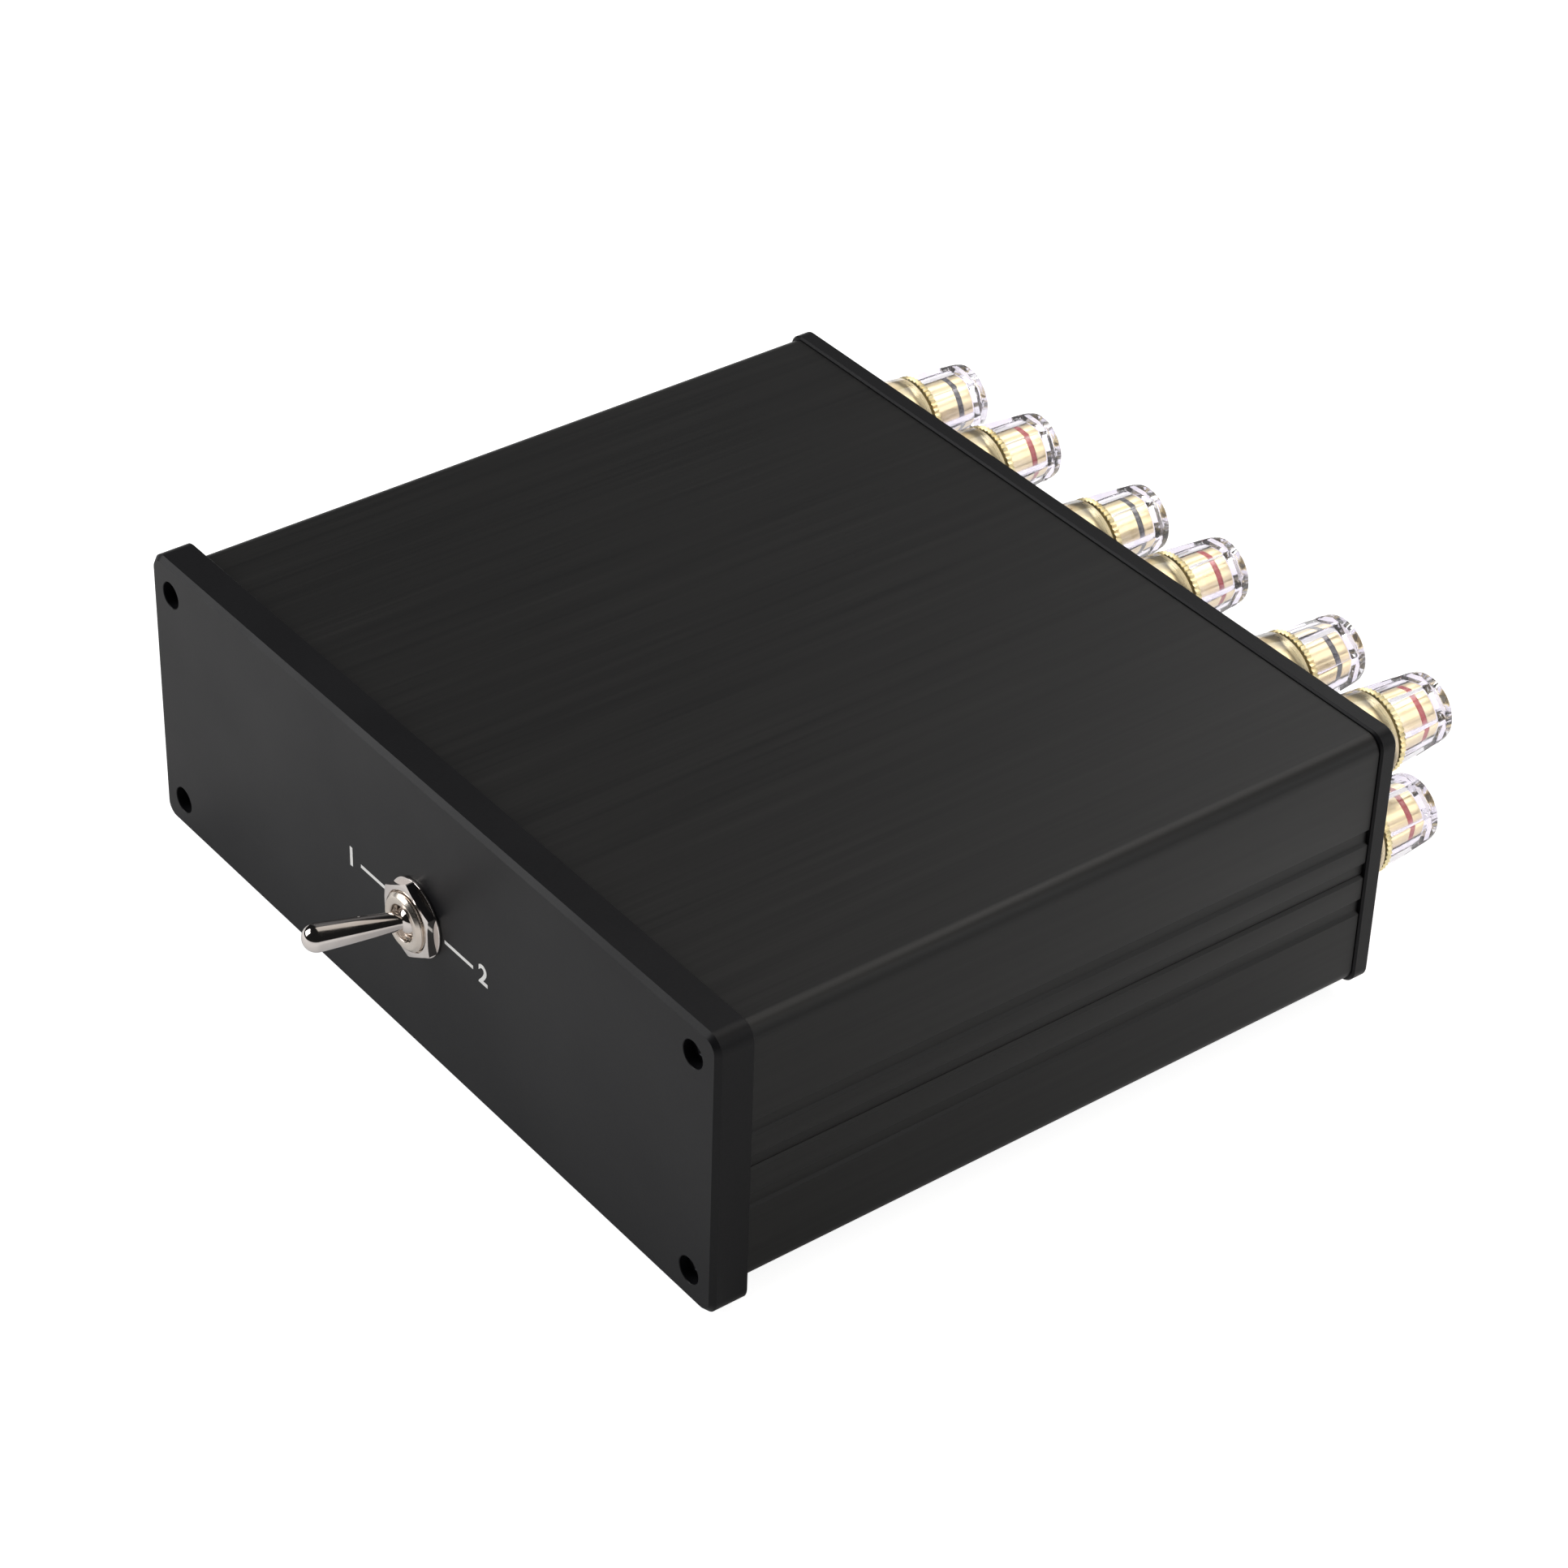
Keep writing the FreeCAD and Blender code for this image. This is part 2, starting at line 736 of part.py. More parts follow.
def hookup_wires(column):
    """The six wires of one colour: column 0 is the left post of each pair, column 1 the right."""
    chosen = [i for i in range(len(post_places())) if i % 2 == column]
    return Part.makeCompound([rounded_route(wire_route(i), wire_radius) for i in chosen])


def build():
    parts = {
        "front_plate": front_plate(),
        "rear_plate": rear_plate(),
        "upper_case": upper_case(),
        "lower_case": lower_case(),
        "panel_screws": panel_screws(),
        "rubber_feet": rubber_feet(),
        "switch_bushing": switch_bushing(),
        "switch_nut": switch_nut(),
        "switch_washer": switch_washer(),
        "switch_frame": switch_frame(),
        "switch_housing": switch_housing(),
        "switch_terminals": switch_terminals(),
        "switch_lever": switch_lever(),
        "drive_block": drive_block(),
        "switch_plungers": switch_plungers(),
        "plunger_springs": plunger_springs(),
        "contact_rockers": contact_rockers(),
        "post_studs": post_studs(),
        "post_base_collars": post_base_collars(),
        "post_insulators": post_insulators(),
        "solder_tags": solder_tags(),
        "post_nuts": post_nuts(),
        "black_wires": hookup_wires(0),
        "red_wires": hookup_wires(1),
    }
    for number, ((x, z), turn) in enumerate(zip(post_places(), knob_turns), 1):
        parts[f"knob_core_{number:02d}"] = post_core(x, z, turn)
        parts[f"knob_band_{number:02d}"] = post_band(x, z)
        parts[f"knob_shell_{number:02d}"] = post_shell(x, z, turn)
    return parts


os.makedirs("parts", exist_ok=True)
for name, shape in build().items():
    shape.exportStep(f"parts/{name}.step")
    solids = shape.Solids
    print(name, "solids", len(solids), "valid", shape.isValid(), "volume", round(shape.Volume, 1))
print("front face at y", round(front_y, 4), "panel at y", round(panel_y, 4), "pivot y", round(pivot_y, 4),
      "rocker y", round(rocker_y, 4), "middle z", round(case_middle, 4))
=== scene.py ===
import bmesh
import bpy
import json
import math
from mathutils import Matrix, Vector


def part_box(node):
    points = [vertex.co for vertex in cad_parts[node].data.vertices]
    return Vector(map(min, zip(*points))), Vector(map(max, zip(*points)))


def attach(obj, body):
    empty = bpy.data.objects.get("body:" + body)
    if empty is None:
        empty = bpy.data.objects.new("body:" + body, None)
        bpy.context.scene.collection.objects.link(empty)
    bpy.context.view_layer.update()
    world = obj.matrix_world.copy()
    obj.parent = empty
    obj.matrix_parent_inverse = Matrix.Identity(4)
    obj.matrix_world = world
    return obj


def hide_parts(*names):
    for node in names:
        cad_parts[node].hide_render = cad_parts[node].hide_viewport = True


# Looks of the speaker selector switch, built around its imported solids.
# Metres; X to the right seen from the front, Y from the front plate to the posts, Z up.

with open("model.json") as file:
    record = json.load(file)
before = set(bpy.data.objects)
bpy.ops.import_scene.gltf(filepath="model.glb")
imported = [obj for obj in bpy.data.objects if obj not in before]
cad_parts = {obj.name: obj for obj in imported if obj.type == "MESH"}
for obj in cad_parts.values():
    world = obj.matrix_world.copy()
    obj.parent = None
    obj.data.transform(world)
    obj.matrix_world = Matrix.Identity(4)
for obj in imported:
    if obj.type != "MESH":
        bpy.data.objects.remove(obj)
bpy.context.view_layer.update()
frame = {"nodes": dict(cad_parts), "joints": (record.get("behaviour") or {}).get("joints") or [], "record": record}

mm = 0.001
scene = bpy.context.scene

# Places that the solids give
front_low, front_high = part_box("front_plate")
rear_low, rear_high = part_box("rear_plate")
case_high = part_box("upper_case")[1]
front_y = front_low.y
case_front = front_high.y
case_back = rear_low.y
panel_y = rear_high.y
middle_z = (front_low.z + front_high.z) / 2
joints = {joint["name"]: joint for joint in frame["joints"]}
pivot = Vector(joints["lever_tilt"]["pos_m"])
sockets = [mount for mount in frame["record"]["mounts"] if mount["name"].startswith("socket")]
post_places = [(mount["pos_m"][0], mount["pos_m"][2]) for mount in sockets]

# Plates and case
corner_radius = 3.5 * mm
front_chamfer = 1.0 * mm
rear_chamfer = 0.4 * mm
edge_break = 0.12 * mm
case_wall = 2.5 * mm
slot_height = 3.0 * mm
slot_depth = 0.6 * mm
slot_bevel = 0.6 * mm
upper_slot_rise = 5.2 * mm
seam_drop = 2.6 * mm
lower_slot_drop = 11.2 * mm
lip_thickness = 0.9 * mm
lip_height = 2.4 * mm
lip_clearance = 0.1 * mm
screw_spacing_x = 170.0 * mm
screw_spacing_z = 49.0 * mm
channel_radius = 3.6 * mm
channel_bore = 1.55 * mm
counterbore_radius = 2.8 * mm
front_sink = 5.0 * mm
rear_sink = 2.2 * mm
screw_hole_radius = 1.7 * mm
toggle_hole_radius = 6.1 * mm
post_hole_radius = 4.5 * mm
foot_radius = 6.5 * mm
foot_draft = 0.7 * mm

# Cap screws
head_radius = 2.75 * mm
head_height = 3.0 * mm
shank_radius = 1.5 * mm
shank_length = 12.0 * mm
key_flats = 2.5 * mm
key_depth = 1.5 * mm
head_ridges = 36
ridge_depth = 0.12 * mm

# Toggle
washer_radius = 8.1 * mm
washer_thickness = 0.55 * mm
nut_flats = 14.3 * mm
nut_thickness = 1.9 * mm
nut_turn = math.radians(1.0)
nut_bevel = math.radians(12)
nut_bevel_inner = 0.985
nut_lip = 0.35 * mm
bushing_radius = 5.95 * mm
bushing_proud = 1.2 * mm
bushing_round = 0.7 * mm
mouth_radius = 3.7 * mm
mouth_depth = 0.8 * mm
thread_pitch = 0.75 * mm
thread_depth = 0.22 * mm
lever_length = 18.58 * mm
lever_tip_radius = 2.82 * mm
lever_neck_radius = 1.9 * mm
lever_neck_reach = 3.0 * mm
lever_tilt = math.radians(17.0)
ball_radius = 3.3 * mm
tail_radius = 1.5 * mm
tail_reach = 15.0 * mm
pin_radius = 0.9 * mm
pin_half_length = 4.9 * mm

# Binding posts, measured outwards from the rear plate's outer face
pair_spacing = 24.2 * mm
group_spacing = 58.3 * mm
row_spacing = 24.2 * mm
group_count = 3
collar_floor = 1.5 * mm
collar_length = 13.3 * mm
collar_root_radius = 9.9 * mm
collar_end_radius = 8.8 * mm
barrel_radius = 5.6 * mm
barrel_front = 13.6 * mm
stud_radius = 3.0 * mm
stud_reach = 24.0 * mm
stud_tail = 13.0 * mm
socket_radius = 2.0 * mm
socket_length = 20.0 * mm
knob_root = 14.0 * mm
knurl_radius = 8.7 * mm
knurl_depth = 0.35 * mm
knurl_length = 1.4 * mm
knurl_teeth = 48
core_radius = 5.2 * mm
core_reach = 26.0 * mm
core_bore = 3.3 * mm
core_end_wall = 1.4 * mm
plug_radius = 2.5 * mm
band_reach = 22.0 * mm
band_width = 1.3 * mm
band_depth = 0.45 * mm
shell_flats = 14.6 * mm
shell_root_radius = 8.6 * mm
shell_shoulder_radius = 7.5 * mm
shell_shoulder_reach = 26.8 * mm
shell_reach = 29.2 * mm
shell_end_radius = 7.25 * mm
corner_break = 0.08 * mm
small_gap = 0.05 * mm

# Prints on the front plate
print_thickness = 0.03 * mm
line_width = 0.75 * mm
line_spans = ((-18.9 * mm, -9.7 * mm), (9.15 * mm, 18.4 * mm))
digit_size = 6.0 * mm
digit_thickening = 0.14 * mm
digit_places = (("1", -22.2 * mm), ("2", 21.6 * mm))

# How far each knob happens to be turned, in degrees, along the upper row and then the lower
knob_turns = [27, 30, 33, 38, 53, 46, 12, 41, 24, 7, 35, 51]


# Shape tools

def rounded(corners):
    """Closed outline from (u, v, radius) corners, each one rounded to its radius."""
    outline = []
    for i, (u, v, radius) in enumerate(corners):
        here = Vector((u, v))
        if radius <= 0:
            outline.append(here)
            continue
        before = (Vector(corners[i - 1][:2]) - here).normalized()
        after = (Vector(corners[(i + 1) % len(corners)][:2]) - here).normalized()
        half = before.angle(after) / 2
        centre = here + (before + after).normalized() * (radius / math.sin(half))
        start = here + before * (radius / math.tan(half)) - centre
        end = here + after * (radius / math.tan(half)) - centre
        sweep = math.remainder(math.atan2(end.y, end.x) - math.atan2(start.y, start.x), math.tau)
        steps = max(4, round(4 * radius / mm))
        for step in range(steps + 1):
            angle = math.atan2(start.y, start.x) + sweep * step / steps
            outline.append(centre + radius * Vector((math.cos(angle), math.sin(angle))))
    return outline


def anticlockwise(outline):
    area = sum(outline[i - 1].cross(outline[i]) for i in range(len(outline)))
    return outline if area > 0 else outline[::-1]


def inset(outline, distance):
    """The outline moved inwards by a distance, corner by corner."""
    if not distance:
        return outline
    moved = []
    for i, here in enumerate(outline):
        first = (here - outline[i - 1]).normalized()
        second = (outline[(i + 1) % len(outline)] - here).normalized()
        inward = Vector((-first.y - second.y, first.x + second.x))
        moved.append(here + inward * (distance / (1 + first.dot(second))))
    return moved


def circle(x, z, radius, steps=72):
    angles = [math.tau * i / steps for i in range(steps)]
    return [Vector((x + radius * math.cos(a), z + radius * math.sin(a))) for a in angles]


def hexagon(x, z, flats, turn=0.0):
    corners = [math.tau * i / 6 + turn for i in range(6)]
    reach = flats / math.sqrt(3)
    return [Vector((x + reach * math.cos(a), z + reach * math.sin(a))) for a in corners]


def rectangle(width, height, radius):
    """Rounded rectangle about the case's middle line."""
    right, top = width / 2, height / 2
    corners = [(right, top), (-right, top), (-right, -top), (right, -top)]
    return [Vector((p.x, p.y + middle_z)) for p in rounded([(x, z, radius) for x, z in corners])]


def ring_at(bm, outline, y):
    return [bm.verts.new((p.x, y, p.y)) for p in outline]


def loft(bm, rings):
    """Quads between rings of as many points each; a ring of one point is a pole."""
    for first, second in zip(rings, rings[1:]):
        count = max(len(first), len(second))
        if count == 1:
            continue
        for i in range(count):
            corners = [first[(i - 1) % len(first)], first[i % len(first)],
                       second[i % len(second)], second[(i - 1) % len(second)]]
            bm.faces.new(list(dict.fromkeys(corners)))


def fill(bm, loops):
    """Flat cap between an outer loop and the loops of the holes in it."""
    edges = [bm.edges.get((loop[i - 1], loop[i])) for loop in loops for i in range(len(loop))]
    bmesh.ops.triangle_fill(bm, use_beauty=True, edges=edges)


def mesh_of(bm, name, sharp=30):
    bmesh.ops.remove_doubles(bm, verts=bm.verts, dist=0.0005 * mm)
    bmesh.ops.recalc_face_normals(bm, faces=bm.faces)
    mesh = bpy.data.meshes.new(name)
    bm.to_mesh(mesh)
    bm.free()
    return shaded(mesh, sharp)


def shaded(mesh, sharp=30):
    mesh.polygons.foreach_set("use_smooth", [True] * len(mesh.polygons))
    mesh.set_sharp_from_angle(angle=math.radians(sharp))
    return mesh


def solid(name, stations, outline, holes=()):
    """Part along Y: an outline lofted through (y, inset) stations, with holes of (outline, y) rings."""
    bm = bmesh.new()
    outline = anticlockwise(outline)
    outer = [ring_at(bm, inset(outline, step), y) for y, step in stations]
    loft(bm, outer)
    near, far = [outer[0]], [outer[-1]]
    for hole in holes:
        rings = [ring_at(bm, hole_outline, y) for hole_outline, y in hole]
        loft(bm, rings)
        near.append(rings[0])
        if abs(hole[-1][1] - stations[-1][0]) < small_gap:
            far.append(rings[-1])
        else:
            fill(bm, [rings[-1]])
    for loops in (near, far):
        fill(bm, loops)
    # each ring of a loft is closed already, so the caps only finish the two ends
    return mesh_of(bm, name)


def turned(name, profile, steps=96, sharp=30):
    """Body turned about the Y axis from a closed outline of (radius, y, rounding) corners."""
    bm = bmesh.new()
    rings = []
    for p in rounded(profile):
        if p.x < small_gap / 10:
            rings.append([bm.verts.new((0, p.y, 0))])
        else:
            rings.append(ring_at(bm, circle(0, 0, p.x, steps), p.y))
    loft(bm, rings + rings[:1])
    return mesh_of(bm, name, sharp)


def hex_ring(bm, flats, round_radius, y, turn, flat_steps=6, corner_steps=6):
    """Ring of a hexagonal bar turned down to a radius; its flats end where the round begins."""
    apothem = flats / 2
    widest = math.radians(29)
    narrowest = math.radians(0.5)
    limit = math.acos(apothem / round_radius) if round_radius > apothem else narrowest
    limit = min(max(limit, narrowest), widest)
    ring = []
    for side in range(6):
        centre = turn + side * math.tau / 6
        for step in range(flat_steps):
            angle = limit * (2 * step / flat_steps - 1)
            radius = min(round_radius, apothem / math.cos(angle))
            ring.append((centre + angle, radius))
        for step in range(corner_steps):
            angle = limit + (math.tau / 6 - 2 * limit) * step / corner_steps
            ring.append((centre + angle, min(round_radius, apothem / math.cos(limit))))
    return [bm.verts.new((r * math.cos(a), y, r * math.sin(a))) for a, r in ring]


def moved(mesh, matrix):
    mesh.transform(matrix)
    return mesh


def joined(name, meshes):
    """One mesh from several, each left as it is."""
    bm = bmesh.new()
    for mesh in meshes:
        bm.from_mesh(mesh)
    mesh = bpy.data.meshes.new(name)
    bm.to_mesh(mesh)
    bm.free()
    return shaded(mesh)


def piece(name, mesh, body, material, slot, *nodes):
    """Puts a finished mesh on the part: what it rides on, its finish and the solids that it stands for."""
    thing = bpy.data.objects.new(name, mesh)
    scene.collection.objects.link(thing)
    mesh.materials.clear()
    mesh.materials.append(material)
    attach(thing, body)
    if nodes:
        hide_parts(*nodes)


# Geometry node trees

def new_tree(name, inputs):
    tree = bpy.data.node_groups.new(name, "GeometryNodeTree")
    tree.interface.new_socket("Geometry", in_out="INPUT", socket_type="NodeSocketGeometry")
    for label, kind in inputs:
        tree.interface.new_socket(label, in_out="INPUT", socket_type="NodeSocket" + kind)
    tree.interface.new_socket("Geometry", in_out="OUTPUT", socket_type="NodeSocketGeometry")
    return tree, tree.nodes.new("NodeGroupInput"), tree.nodes.new("NodeGroupOutput")


def node(tree, kind, sockets=(), **settings):
    """Adds a node, sets its properties, and links or sets its inputs by name or number."""
    made = tree.nodes.new(kind)
    for key, value in settings.items():
        setattr(made, key, value)
    for key, value in dict(sockets).items():
        if isinstance(value, bpy.types.NodeSocket):
            tree.links.new(value, made.inputs[key])
        else:
            made.inputs[key].default_value = value
    return made


def grown(name, tree, values, start=None):
    """Plain mesh that a tree makes from a start mesh and a value for each named input."""
    holder = bpy.data.objects.new(name, start or bpy.data.meshes.new(name + "_start"))
    scene.collection.objects.link(holder)
    modifier = holder.modifiers.new("shape", "NODES")
    modifier.node_group = tree
    identifiers = {item.name: item.identifier for item in tree.interface.items_tree
                   if item.in_out == "INPUT"}
    for label, value in values.items():
        modifier[identifiers[label]] = value
    graph = bpy.context.evaluated_depsgraph_get()
    mesh = bpy.data.meshes.new_from_object(holder.evaluated_get(graph))
    holder.modifiers.clear()
    bpy.data.objects.remove(holder)
    mesh.name = name
    return mesh


def vector_of(tree, x=0.0, y=0.0, z=0.0):
    return node(tree, "ShaderNodeCombineXYZ", {"X": x, "Y": y, "Z": z}).outputs[0]


def maths(tree, operation, first, second=0.0):
    return node(tree, "ShaderNodeMath", {0: first, 1: second}, operation=operation).outputs[0]


def scaled(tree, vector, factor):
    return node(tree, "ShaderNodeVectorMath", {0: vector, "Scale": factor}, operation="SCALE").outputs[0]


def finished_with(tree, shape, finish):
    return node(tree, "GeometryNodeSetMaterial", {"Geometry": shape, "Material": finish}).outputs[0]


def row_of(tree, count, spacing):
    """Line of points whose middle is at the origin."""
    gaps = maths(tree, "SUBTRACT", count, 1.0)
    start = scaled(tree, spacing, maths(tree, "MULTIPLY", gaps, -0.5))
    return node(tree, "GeometryNodeMeshLine",
                {"Count": count, "Start Location": start, "Offset": spacing}).outputs[0]


def copied(tree, points, thing):
    """Copies of a thing on points, made real."""
    placed = node(tree, "GeometryNodeInstanceOnPoints", {"Points": points, "Instance": thing}).outputs[0]
    return node(tree, "GeometryNodeRealizeInstances", {"Geometry": placed}).outputs[0]


def rows_tree():
    """Sets a piece out in groups of two columns and two rows, as posts and screws stand on a plate."""
    tree, given, result = new_tree("Set out in groups", [
        ("Groups", "Int"), ("Group spacing", "Float"), ("Column spacing", "Float"), ("Row spacing", "Float"),
        ("Row direction", "Vector"), ("Finish", "Material")])
    pair = row_of(tree, 2, vector_of(tree, x=given.outputs["Column spacing"]))
    groups = row_of(tree, given.outputs["Groups"], vector_of(tree, x=given.outputs["Group spacing"]))
    step = scaled(tree, given.outputs["Row direction"], given.outputs["Row spacing"])
    places = copied(tree, row_of(tree, 2, step), copied(tree, groups, pair))
    pieces = copied(tree, places, given.outputs["Geometry"])
    tree.links.new(finished_with(tree, pieces, given.outputs["Finish"]), result.inputs[0])
    return tree


def ridges_tree():
    """Cuts ridges or a screw thread into whatever stands further out from the Y axis than a set radius."""
    tree, given, result = new_tree("Ridges about the axis", [
        ("Ridges", "Float"), ("Depth", "Float"), ("Pitch", "Float"), ("From radius", "Float"),
        ("From y", "Float"), ("To y", "Float"), ("Finish", "Material")])
    place = node(tree, "GeometryNodeInputPosition").outputs[0]
    parts = node(tree, "ShaderNodeSeparateXYZ", {0: place})
    x, y, z = parts.outputs
    turn = maths(tree, "DIVIDE", maths(tree, "ARCTAN2", z, x), math.tau)
    climb = maths(tree, "DIVIDE", y, given.outputs["Pitch"])
    phase = maths(tree, "ADD", maths(tree, "MULTIPLY", turn, given.outputs["Ridges"]), climb)
    wave = maths(tree, "MULTIPLY", maths(tree, "PINGPONG", phase, 0.5), 2.0)
    outwards = vector_of(tree, x=x, z=z)
    radius = node(tree, "ShaderNodeVectorMath", {0: outwards}, operation="LENGTH").outputs["Value"]
    outside = maths(tree, "GREATER_THAN", radius, given.outputs["From radius"])
    after = maths(tree, "GREATER_THAN", y, given.outputs["From y"])
    before = maths(tree, "LESS_THAN", y, given.outputs["To y"])
    inside = maths(tree, "MULTIPLY", outside, maths(tree, "MULTIPLY", after, before))
    cut = maths(tree, "MULTIPLY", maths(tree, "MULTIPLY", wave, given.outputs["Depth"]), inside)
    share = maths(tree, "DIVIDE", maths(tree, "MULTIPLY", cut, -1.0), radius)
    shaped = node(tree, "GeometryNodeSetPosition",
                  {"Geometry": given.outputs["Geometry"], "Offset": scaled(tree, outwards, share)}).outputs[0]
    real = node(tree, "GeometryNodeRealizeInstances", {"Geometry": shaped}).outputs[0]
    tree.links.new(finished_with(tree, real, given.outputs["Finish"]), result.inputs[0])
    return tree


# Finishes

def new_material(name):
    material = bpy.data.materials.new(name)
    material.use_nodes = True
    tree = material.node_tree
    return material, tree, tree.nodes["Principled BSDF"]


def grain(tree, scale, stretch=(1, 1, 1), detail=3.0):
    """Noise on the piece's own coordinates, drawn out along the axes whose stretch is small."""
    place = node(tree, "ShaderNodeTexCoord").outputs["Object"]
    mapped = node(tree, "ShaderNodeMapping", {"Vector": place, "Scale": stretch}).outputs[0]
    return node(tree, "ShaderNodeTexNoise", {"Vector": mapped, "Scale": scale, "Detail": detail}).outputs[0]


def blended(tree, share, first, second):
    """Colour between two others by a share from 0 to 1."""
    return node(tree, "ShaderNodeMix", {"Factor": share, "A": (*first, 1), "B": (*second, 1)},
                data_type="RGBA").outputs["Result"]


def ranged(tree, value, low, high, start=0.3, end=0.7):
    return node(tree, "ShaderNodeMapRange", {"Value": value, "From Min": start, "From Max": end,
                                             "To Min": low, "To Max": high}).outputs[0]


def bumped(tree, shader, height, strength, distance):
    bump = node(tree, "ShaderNodeBump", {"Height": height, "Strength": strength, "Distance": distance})
    tree.links.new(bump.outputs[0], shader.inputs["Normal"])


def blasted_black(name, dark, light):
    """Bead-blasted, black anodised aluminium: a fine even speckle."""
    material, tree, shader = new_material(name)
    speckle = grain(tree, 2600, detail=2.0)
    cloud = grain(tree, 35, detail=4.0)
    share = maths(tree, "MULTIPLY", maths(tree, "ADD", speckle, cloud), 0.5)
    tree.links.new(blended(tree, ranged(tree, share, 0, 1), dark, light), shader.inputs["Base Color"])
    tree.links.new(ranged(tree, cloud, 0.36, 0.44), shader.inputs["Roughness"])
    shader.inputs["Specular IOR Level"].default_value = 0.2
    bumped(tree, shader, speckle, 0.25, 0.02 * mm)
    return material


def brushed_black(name, dark, light):
    """Black anodised extrusion with fine lines drawn along its length."""
    material, tree, shader = new_material(name)
    lines = grain(tree, 1500, (1, 0.012, 1), 4.0)
    broad = grain(tree, 520, (1, 0.02, 1), 3.0)
    share = maths(tree, "MULTIPLY", maths(tree, "ADD", lines, broad), 0.5)
    tree.links.new(blended(tree, ranged(tree, share, 0, 1), dark, light), shader.inputs["Base Color"])
    tree.links.new(ranged(tree, lines, 0.38, 0.46), shader.inputs["Roughness"])
    shader.inputs["Specular IOR Level"].default_value = 0.35
    bumped(tree, shader, lines, 0.2, 0.02 * mm)
    return material


def plated(name, dark, light, smooth, rough, scratch=900, relief=0.06, metal=1.0):
    """Bright metal plate with faint cloudiness and hairlines."""
    material, tree, shader = new_material(name)
    cloud = grain(tree, 160, detail=4.0)
    hair = grain(tree, scratch, (1, 1, 0.2), 3.0)
    tree.links.new(blended(tree, ranged(tree, cloud, 0, 1), dark, light), shader.inputs["Base Color"])
    tree.links.new(ranged(tree, cloud, smooth, rough), shader.inputs["Roughness"])
    shader.inputs["Metallic"].default_value = metal
    bumped(tree, shader, hair, relief, 0.01 * mm)
    return material


def clear_plastic(name, tint, cloudy_tint):
    """Clear moulded plastic with a trace of lilac and faint flow marks."""
    material, tree, shader = new_material(name)
    flow = grain(tree, 90, (1, 0.3, 1), 3.0)
    tree.links.new(blended(tree, ranged(tree, flow, 0, 1), tint, cloudy_tint), shader.inputs["Base Color"])
    tree.links.new(ranged(tree, flow, 0.04, 0.09), shader.inputs["Roughness"])
    shader.inputs["Transmission Weight"].default_value = 0.95
    shader.inputs["IOR"].default_value = 1.47
    return material


def moulded(name, dark, light, smooth, rough, scale=400, strength=0.15, glow=0.0):
    """Opaque plastic, rubber or ink with a faint texture; ink may glow a little, painted light that lifts the
    print to white.
    """
    material, tree, shader = new_material(name)
    texture = grain(tree, scale, detail=3.0)
    tree.links.new(blended(tree, ranged(tree, texture, 0, 1), dark, light), shader.inputs["Base Color"])
    tree.links.new(ranged(tree, texture, smooth, rough), shader.inputs["Roughness"])
    shader.inputs["Emission Color"].default_value = (*light, 1)
    shader.inputs["Emission Strength"].default_value = glow
    bumped(tree, shader, texture, strength, 0.03 * mm)
    return material


finishes = {
    "anodised_plate": blasted_black("blasted_black", (0.008, 0.008, 0.0095), (0.013, 0.013, 0.015)),
    "anodised_case": brushed_black("brushed_black", (0.006, 0.006, 0.0064), (0.019, 0.0185, 0.018)),
    "black_screw": plated("black_oxide", (0.02, 0.02, 0.022), (0.04, 0.04, 0.044), 0.3, 0.45),
    "foot_rubber": moulded("foot_rubber", (0.012, 0.012, 0.012), (0.022, 0.022, 0.022), 0.7, 0.85),
    "nickel": plated("bright_nickel", (0.74, 0.68, 0.65), (0.84, 0.79, 0.76), 0.06, 0.12, relief=0.01),
    "satin_nickel": plated("satin_nickel", (0.72, 0.64, 0.57), (0.84, 0.77, 0.69), 0.20, 0.30,
                           relief=0.01),
    "plated_steel": plated("zinc_plate", (0.52, 0.53, 0.52), (0.68, 0.68, 0.66), 0.3, 0.45),
    "phenolic": moulded("brown_phenolic", (0.08, 0.035, 0.018), (0.13, 0.06, 0.03), 0.35, 0.5),
    "white_nylon": moulded("white_nylon", (0.72, 0.70, 0.64), (0.8, 0.79, 0.75), 0.4, 0.5),
    "contact_metal": plated("silvered_brass", (0.62, 0.55, 0.40), (0.78, 0.72, 0.58), 0.2, 0.35),
    "spring_wire": plated("spring_steel", (0.5, 0.5, 0.5), (0.62, 0.62, 0.62), 0.2, 0.3),
    "gold": plated("gold_plate", (0.98, 0.81, 0.44), (1.0, 0.88, 0.54), 0.26, 0.36, relief=0.01,
                   metal=0.88),
    "clear_plastic": clear_plastic("clear_plastic", (0.98, 0.97, 0.99), (0.93, 0.91, 0.955)),
    "black_insulator": moulded("black_insulator", (0.014, 0.014, 0.015), (0.024, 0.024, 0.026), 0.4, 0.55),
    "black_band": moulded("black_enamel", (0.035, 0.036, 0.05), (0.05, 0.052, 0.07), 0.25, 0.35,
                          strength=0.05),
    "red_band": moulded("red_enamel", (0.68, 0.04, 0.035), (0.80, 0.07, 0.06), 0.25, 0.35,
                        strength=0.05),
    "black_wire": moulded("black_sleeving", (0.014, 0.014, 0.014), (0.024, 0.024, 0.024), 0.4, 0.5),
    "red_wire": moulded("red_sleeving", (0.42, 0.015, 0.012), (0.52, 0.025, 0.02), 0.4, 0.5),
    # the ink glows at 0.2: painted light that makes the print read white
    "print": moulded("white_ink", (0.84, 0.84, 0.82), (0.92, 0.92, 0.90), 0.5, 0.65, 1500, 0.08, 0.2),
}


# Case and plates

def corners_of_screws():
    half_x, half_z = screw_spacing_x / 2, screw_spacing_z / 2
    return [(side * half_x, middle_z + end * half_z) for end in (1, -1) for side in (-1, 1)]


